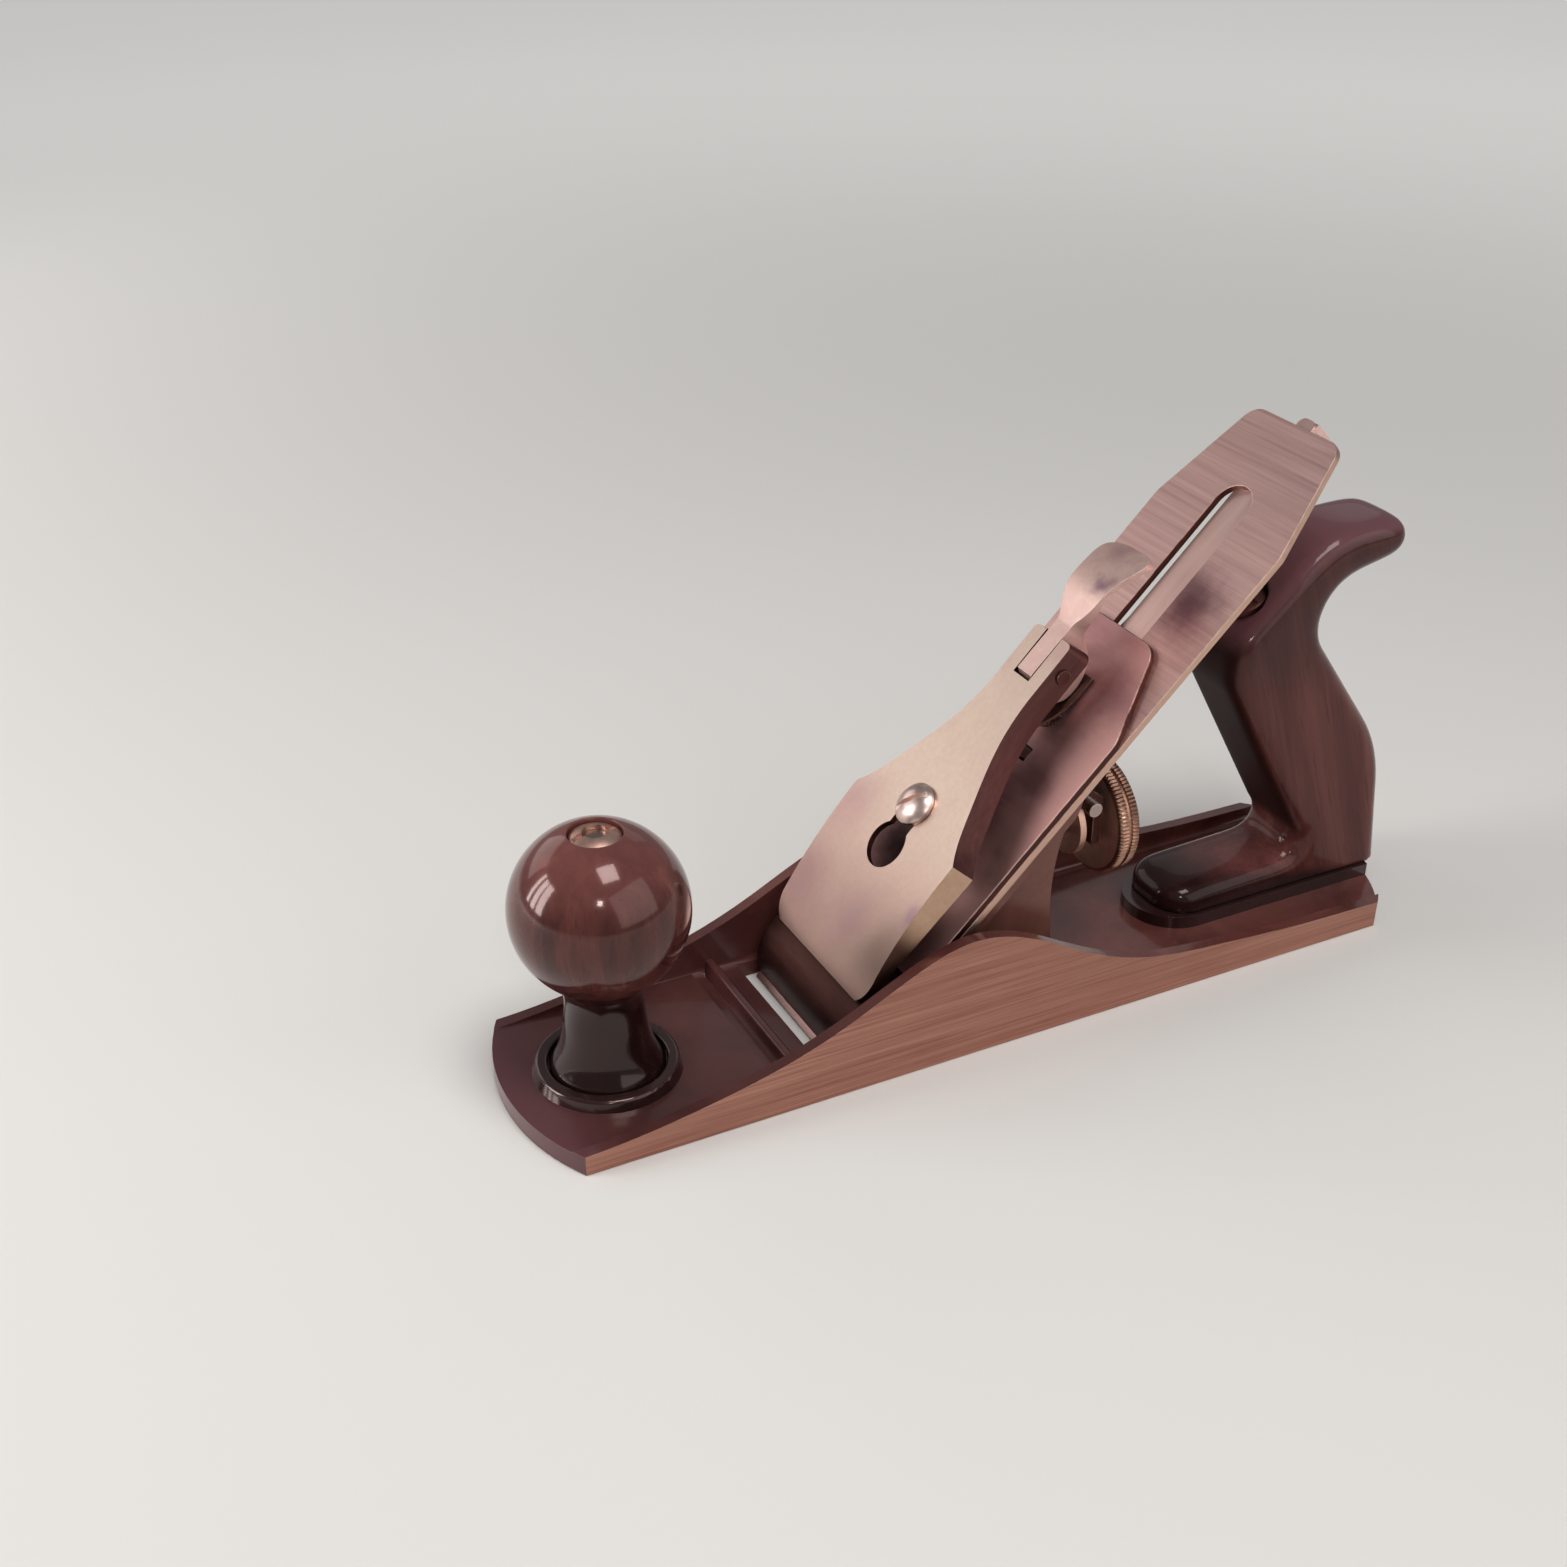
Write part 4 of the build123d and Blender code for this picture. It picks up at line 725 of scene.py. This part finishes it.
def finishPiece(bm, name, node, materials, settings):
    # turns a bmesh into a piece that stands for a node: smooth faces, sharp creases, rounded edges
    if "round" in settings:
        roundEdges(bm, settings)
    mesh = meshFrom(bm, name)
    for material in materials:
        mesh.materials.append(looks[material])
    for polygon in mesh.polygons:
        polygon.use_smooth = True
    mesh.set_sharp_from_angle(angle=radians(settings["crease"]))
    piece = newObject(name, mesh)
    weighted = piece.modifiers.new("evenShading", "WEIGHTED_NORMAL")
    weighted.keep_sharp = True
    weighted.weight = 80
    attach(piece, bodyOf[node])
    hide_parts(node)
    return piece


def mergedCopy(node, flatten=0.5):
    # the node's own mesh stays as it is: in a copy its loose triangles are joined, flat ones as one
    bm = bmesh.new()
    bm.from_mesh(nodes[node].data)
    bmesh.ops.remove_doubles(bm, verts=bm.verts, dist=weld)
    bmesh.ops.dissolve_limit(bm, angle_limit=radians(flatten), verts=bm.verts, edges=bm.edges,
                             delimit={"NORMAL"})
    return bm


def cutAcross(bm, place, direction, dropFar=False):
    bmesh.ops.bisect_plane(bm, geom=bm.verts[:] + bm.edges[:] + bm.faces[:], dist=cutSlack,
                           plane_co=place, plane_no=direction, clear_outer=dropFar)


def dressPiece(bm, name, node, materials, settings, pick):
    # each face takes the material that pick gives for it
    for face in bm.faces:
        face.material_index = pick(face, face.calc_center_median())
    return finishPiece(bm, name, node, materials, settings)


casting = {"round": 0.6, "segments": 3, "crease": 34, "skinDepth": 0.05, "flatness": 0.9,
           "ringReach": 19.5, "ringFoot": 5.6, "padRim": 6, "padEnd": 2, "floorTop": 4.5}
knobFoot = Vector(((knobLow.x + knobHigh.x) / 2, 0, knobLow.z))


def castingFace(face, middle):
    # ground sides and sole, painted shade in near-black enamel round the feet of knob and handle,
    # enamel everywhere else
    height = (middle.z - castingLow.z) / mm
    fromKnob = (middle - knobFoot).xy.length
    onRing = fromKnob < casting["ringReach"] * mm and height > casting["ringFoot"]
    onPad = toteLow.x - casting["padRim"] * mm < middle.x < castingHigh.x - casting["padEnd"] * mm \
        and abs(middle.y) < toteHigh.y + casting["padRim"] * mm
    if onRing or (onPad and height > casting["floorTop"]):
        return 2
    atSide = abs(middle.y) > castingHigh.y - casting["skinDepth"] * mm
    if atSide and abs(face.normal.y) > casting["flatness"]:
        return 1
    return 1 if height < casting["skinDepth"] and face.normal.z < -casting["flatness"] else 0


dressPiece(mergedCopy("body_casting"), "castingBody", "body_casting",
           ["bodyEnamel", "groundSide", "blackEnamelPaintedShade"], casting, castingFace)
print("casting done")

blade = {"round": 0.22, "segments": 2, "crease": 30, "slotReach": 8, "slotLow": 20, "slotEnd": 6}


def bladeFace(face, middle):
    # flats, ground edges, and painted shade on the walls of the slot
    if abs(face.normal.dot(offBed)) > 0.5:
        return 0
    inSlot = abs(middle.y) < blade["slotReach"] * mm and middle.z > blade["slotLow"] * mm \
        and middle.x < ironHigh.x - blade["slotEnd"] * mm
    return 2 if inSlot else 1


capIron = {"round": 0.3, "segments": 3, "crease": 34, "noseTop": 30, "endFacing": 0.7}


def capIronFace(face, middle):
    # painted shade down at the nose, the plain finish with painted light where it lies open,
    # painted shade on its edges
    if alongBed(middle) < capIron["noseTop"]:
        return 1
    return 2 if abs(face.normal.y) > 0.5 or face.normal.dot(upSlope) > capIron["endFacing"] else 0


def dressCapIron():
    bm = mergedCopy("cap_iron")
    cutAcross(bm, onSlope(capIron["noseTop"], 0), upSlope)
    dressPiece(bm, "capIronSheet", "cap_iron", ["capIron", "capIronPaintedShade", "sideSteelPaintedShade"], capIron,
               capIronFace)


leverCap = {"round": 0.5, "segments": 4, "crease": 26, "flatten": 0.2, "faceTilt": 0.45,
            "keyReach": 7, "keyLow": 48, "keyHigh": 80, "facetReach": 12, "facetTop": 59}


def leverCapFace(face, middle):
    # the face takes the plain nickel; the skirt takes painted shade, its lowest facet a paler copy
    # with painted shade low down, and the key slot painted shade
    along = alongBed(middle)
    if face.normal.dot(offBed) > leverCap["faceTilt"]:
        return 0
    besideKey = abs(middle.y) < leverCap["keyReach"] * mm
    if besideKey and leverCap["keyLow"] < along < leverCap["keyHigh"]:
        return 3
    outer = abs(middle.y) > leverCap["facetReach"] * mm and along < leverCap["facetTop"]
    return 2 if outer and abs(face.normal.y) > 0.5 else 1


camLever = {"round": 0.4, "segments": 3, "crease": 34, "flatten": 0.2}


def dressCamLever():
    # one half of the lever, mirrored, so that both sides of the tab flare alike
    bm = mergedCopy("cam_lever", camLever["flatten"])
    cutAcross(bm, (0, 0, 0), (0, 1, 0), True)
    bmesh.ops.mirror(bm, geom=bm.verts[:] + bm.edges[:] + bm.faces[:], merge_dist=weld, axis="Y")
    bmesh.ops.recalc_face_normals(bm, faces=bm.faces)
    finishPiece(bm, "camLever", "cam_lever", ["camSteel"], camLever)


dressPiece(mergedCopy("iron"), "bladeSheet", "iron", ["blade", "bladeEdge", "sideSteelPaintedShade"], blade,
           bladeFace)
dressCapIron()
dressPiece(mergedCopy("lever_cap", leverCap["flatten"]), "leverCapShell", "lever_cap",
           ["nickel", "capSkirtPaintedShade", "capFacetPaintedShade", "keyholePaintedShade"], leverCap, leverCapFace)
finishPiece(mergedCopy("lever_cap_screw"), "leverCapScrew", "lever_cap_screw", ["capScrew"],
            {"round": 0.25, "segments": 2, "crease": 30})
dressCamLever()
print("blade and cap done")

# boss: forward of the back and out from the axle; rim: forward of the back and in from the rim
wheel = {"steps": 576, "ridges": 96, "depth": 0.34, "bore": 3.1, "hub": 5.5, "flange": 9.0,
         "flangeThick": 1.8, "bandDepth": 1.0, "bandStart": 0.3, "crease": 50,
         "boss": [(0, 3.1), (0, 5.0), (1.6, 5.6)],
         "rim": [(1.6, 5.0), (0, 3.4), (0, 1.3), (0.5, 0.55), (0.9, 0), (2.7, 0), (2.95, 0.6),
                 (3.65, 0.6), (3.9, 0), (5.7, 0), (6.1, 0.55), (6.6, 1.3)]}


def wheelSection(radius, front, back):
    # half of the wheel cut through its axle, as (place along it, reach from it) in millimetres
    rimFront = back - wheel["rim"][-1][0]
    flangeBack = front + wheel["flangeThick"]
    return [(back - ahead, reach) for ahead, reach in wheel["boss"]] \
        + [(back - ahead, radius - inwards) for ahead, inwards in wheel["rim"]] \
        + [(rimFront, wheel["hub"]), (flangeBack, wheel["hub"]), (flangeBack, wheel["flange"]),
           (front, wheel["flange"]), (front, wheel["bore"])]


def depthWheel():
    # the section is spun, then the outermost corners are drawn in to make two rows of ridges
    low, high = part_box("depth_wheel")
    radius = (high.z - low.z) / 2
    axle = Vector((0, 0, (high.z + low.z) / 2))
    bm = bmesh.new()
    corners = [bm.verts.new(axle + Vector((x, reach, 0)) * mm)
               for x, reach in wheelSection(radius / mm, low.x / mm, high.x / mm)]
    sides = [bm.edges.new((corner, corners[index - 1])) for index, corner in enumerate(corners)]
    bmesh.ops.spin(bm, geom=corners + sides, cent=axle, axis=(1, 0, 0), angle=2 * pi,
                   steps=wheel["steps"], use_merge=True)
    for vert in bm.verts:
        spoke = Vector((0, vert.co.y, vert.co.z - axle.z))
        if spoke.length > radius - weld:
            phase = atan2(spoke.z, spoke.y) * wheel["ridges"]
            vert.co -= spoke.normalized() * wheel["depth"] * mm * (0.5 - 0.5 * cos(phase))
    # the ridged band takes the brass, every other face the paler copy with painted light
    for face in bm.faces:
        middle = face.calc_center_median()
        reach = Vector((middle.y, middle.z - axle.z)).length
        outside = reach > radius - wheel["bandDepth"] * mm
        face.material_index = 0 if outside and middle.x < high.x - wheel["bandStart"] * mm else 1
    bmesh.ops.recalc_face_normals(bm, faces=bm.faces)
    finishPiece(bm, "depthWheel", "depth_wheel", ["brass", "wheelFacePaintedLight"], wheel)


depthWheel()
print("depth wheel done")

tote = {"voxel": 0.8, "evenPasses": 5, "softPasses": 70, "softStep": 0.09, "hornDepth": 33,
        "hornFront": 3, "footLow": 4, "footHeight": 17, "footSoft": 2, "footReach": 48,
        "keptLow": 1.5, "crease": 60}


def evenMesh(bm, voxel):
    # the same shape in small even faces, so that it can be smoothed
    holder = newObject("evenStart", meshFrom(bm, "evenStart"))
    remesh = holder.modifiers.new("even", "REMESH")
    remesh.mode = "VOXEL"
    remesh.voxel_size = voxel * mm
    even = bmesh.new()
    even.from_mesh(holder.evaluated_get(bpy.context.evaluated_depsgraph_get()).to_mesh())
    bpy.data.objects.remove(holder)
    return even


def softDepth(place):
    # how far a place lies inside the parts of the handle that are rounded: the horn and the foot
    horn = min(place.z - (toteHigh.z - tote["hornDepth"] * mm),
               place.x - (nutHigh.x + tote["hornFront"] * mm))
    foot = min(place.z - (toteLow.z + tote["footLow"] * mm),
               (toteLow.z + tote["footHeight"] * mm) - place.z + tote["footSoft"] * mm,
               (toteLow.x + tote["footReach"] * mm) - place.x)
    return max(horn, foot) / mm


def smoothOnce(bm, verts):
    bmesh.ops.smooth_vert(bm, verts=verts, factor=0.5,
                          use_axis_x=True, use_axis_y=True, use_axis_z=True)


def rearHandle():
    # the deeper a place lies in the soft parts, the more often it is smoothed
    even = evenMesh(mergedCopy("tote"), tote["voxel"])
    free = [vert for vert in even.verts if vert.co.z > toteLow.z + tote["keptLow"] * mm]
    for step in range(tote["evenPasses"]):
        smoothOnce(even, free)
    depths = [(softDepth(vert.co), vert) for vert in free]
    for step in range(tote["softPasses"]):
        smoothOnce(even, [vert for depth, vert in depths if depth > step * tote["softStep"]])
    finishPiece(even, "rearHandle", "tote", ["toteWood"], tote)


rearHandle()
print("handle done")

# name, finish, rounding in millimetres, its segments, crease in degrees
small = {
    "knob": ("frontKnob", "knobWood", 0.4, 3, 34),
    "knob_nut": ("frontNut", "nutMetal", 0.3, 3, 32),
    "knob_stud": ("frontStud", "steel", 0.3, 2, 32),
    "tote_nut": ("rearNut", "rearNutPaintedShade", 0.3, 3, 32),
    "tote_stud": ("rearStud", "steel", 0.3, 2, 32),
    # the frog's enamel is lightened, painted light in the shade under the iron
    "frog": ("frogCasting", "frogEnamelPaintedLight", 0.5, 3, 34),
    "frog_screws": ("frogScrews", "steel", 0.2, 2, 32),
    "frog_washers": ("frogWashers", "steel", 0.15, 2, 32),
    "cap_iron_screw": ("capIronScrew", "steel", 0.3, 2, 32),
    "cap_spring": ("capSpring", "darkSteel", 0.12, 2, 32),
    "spring_rivet": ("springRivet", "steel", 0.2, 2, 32),
    # the cam pin's end takes the skirt's painted shade
    "cam_pin": ("camPin", "capSkirtPaintedShade", 0.2, 2, 32),
    "depth_stud": ("depthStud", "steel", 0.3, 2, 32),
    # the yoke takes a dark steel, painted shade where it shows beside the skirt
    "yoke": ("yokeFork", "sideSteelPaintedShade", 0.3, 2, 32),
    "yoke_pin": ("yokePin", "steel", 0.3, 2, 32),
    "lateral_lever": ("lateralLever", "latSteel", 0.25, 2, 32),
    "lateral_pivot": ("lateralPivot", "steel", 0.2, 2, 32),
    "lateral_roller": ("lateralRoller", "steel", 0.2, 2, 32),
    "roller_rivet": ("rollerRivet", "steel", 0.15, 2, 32),
}
for node, (name, material, rounding, segments, crease) in small.items():
    finishPiece(mergedCopy(node), name, node, [material],
                {"round": rounding, "segments": segments, "crease": crease})
print("small parts done:", len(small))

# the far floor is lifted between two distances from the plane, in metres
studio = {"floorSize": 6.0, "floorDrop": 0.0002, "floorTone": (0.80, 0.79, 0.77, 1),
          "floorRough": 0.9, "liftFrom": 0.30, "liftTo": 1.3, "lift": 0.45,
          "worldTone": (0.80, 0.80, 0.80, 1), "worldLevel": 0.24}


def makeFloorPaper():
    # matt paper, kept pale far behind the plane where the lamps no longer reach
    material, tree, shader, vector, place = startMaterial("floorPaper")
    setConstants(shader, {"Base Color": studio["floorTone"], "Roughness": studio["floorRough"],
                          "Emission Color": studio["floorTone"]})
    rays = tree.nodes.new("ShaderNodeLightPath").outputs
    seen = addMath(tree, "ADD", rays["Is Camera Ray"], rays["Is Glossy Ray"])
    seen = addMath(tree, "ADD", seen, rays["Is Transmission Ray"], True)
    distance = addNode(tree, "ShaderNodeVectorMath", {"operation": "LENGTH"})
    tree.links.new(place, distance.inputs[0])
    lift = addReach(tree, distance.outputs["Value"], None, None, {
        "From Min": studio["liftFrom"], "From Max": studio["liftTo"], "To Max": studio["lift"]})
    tree.links.new(addMath(tree, "MULTIPLY", lift, seen), shader.inputs["Emission Strength"])
    return material


def layFloor():
    bm = bmesh.new()
    bmesh.ops.create_grid(bm, x_segments=1, y_segments=1, size=studio["floorSize"] / 2)
    bmesh.ops.translate(bm, verts=bm.verts, vec=(0, 0, packedLow.z - studio["floorDrop"]))
    mesh = meshFrom(bm, "studioFloor")
    mesh.materials.append(makeFloorPaper())
    newObject("studioFloor", mesh)


layFloor()
world = bpy.data.worlds.new("studioWorld")
bpy.context.scene.world = world
world.use_nodes = True
backdrop = world.node_tree.nodes["Background"]
setConstants(backdrop, {"Color": studio["worldTone"], "Strength": studio["worldLevel"]})

lampWhite = (1.0, 0.98, 0.96)
# place, aim, width, height, watts, colour
lamps = {
    "windowNear": ((-0.92, 0.16, 0.36), (-0.08, 0, 0.06), 0.15, 0.52, 2.4, lampWhite),
    "windowMiddle": ((-0.90, 0.33, 0.36), (-0.08, 0, 0.06), 0.11, 0.52, 1.8, lampWhite),
    "windowFar": ((-0.84, 0.47, 0.36), (-0.08, 0, 0.06), 0.07, 0.52, 1.1, lampWhite),
    "backSoftbox": ((-0.40, 0.75, 0.42), (0, 0, 0.08), 0.60, 0.40, 0.80, (1.0, 0.96, 0.92)),
    "topPanel": ((0.01, -0.30, 0.98), (0, 0, 0.05), 0.36, 0.36, 3.7, lampWhite),
    "frontSpark": ((-0.33, -0.67, 0.62), (0, 0, 0.05), 0.09, 0.09, 0.7, lampWhite),
    "fillPanel": ((0.50, -1.00, 0.62), (0, 0, 0.04), 1.30, 1.00, 4.6, lampWhite),
    "rearPanel": ((0.62, 0.80, 0.60), (0.08, 0, 0.04), 0.60, 0.40, 0.20, (1.0, 0.95, 0.96)),
}
for name, (place, aim, width, height, watts, colour) in lamps.items():
    data = bpy.data.lights.new(name, "AREA")
    data.shape = "RECTANGLE"
    data.size, data.size_y = width, height
    data.energy = watts
    data.color = colour
    lamp = newObject(name, data)
    lamp.location = place
    lamp.rotation_mode = "QUATERNION"
    lamp.rotation_quaternion = (Vector(aim) - Vector(place)).to_track_quat("-Z", "Y")

shot = {"place": (-0.24475, -0.38069, 0.31977), "turn": (58.0023, 0.7974, -25.5726), "lens": 46.84,
        "sensor": 36, "shift": (0.0373, 0.0478), "near": 0.01, "far": 20}
cameraData = bpy.data.cameras.new("shotCamera")
cameraData.sensor_width = shot["sensor"]
cameraData.lens = shot["lens"]
cameraData.shift_x, cameraData.shift_y = shot["shift"]
cameraData.clip_start, cameraData.clip_end = shot["near"], shot["far"]
camera = newObject("shotCamera", cameraData)
camera.location = shot["place"]
camera.rotation_euler = [radians(angle) for angle in shot["turn"]]
bpy.context.scene.camera = camera
bpy.context.scene.view_settings.view_transform = "Standard"
print("studio ready")
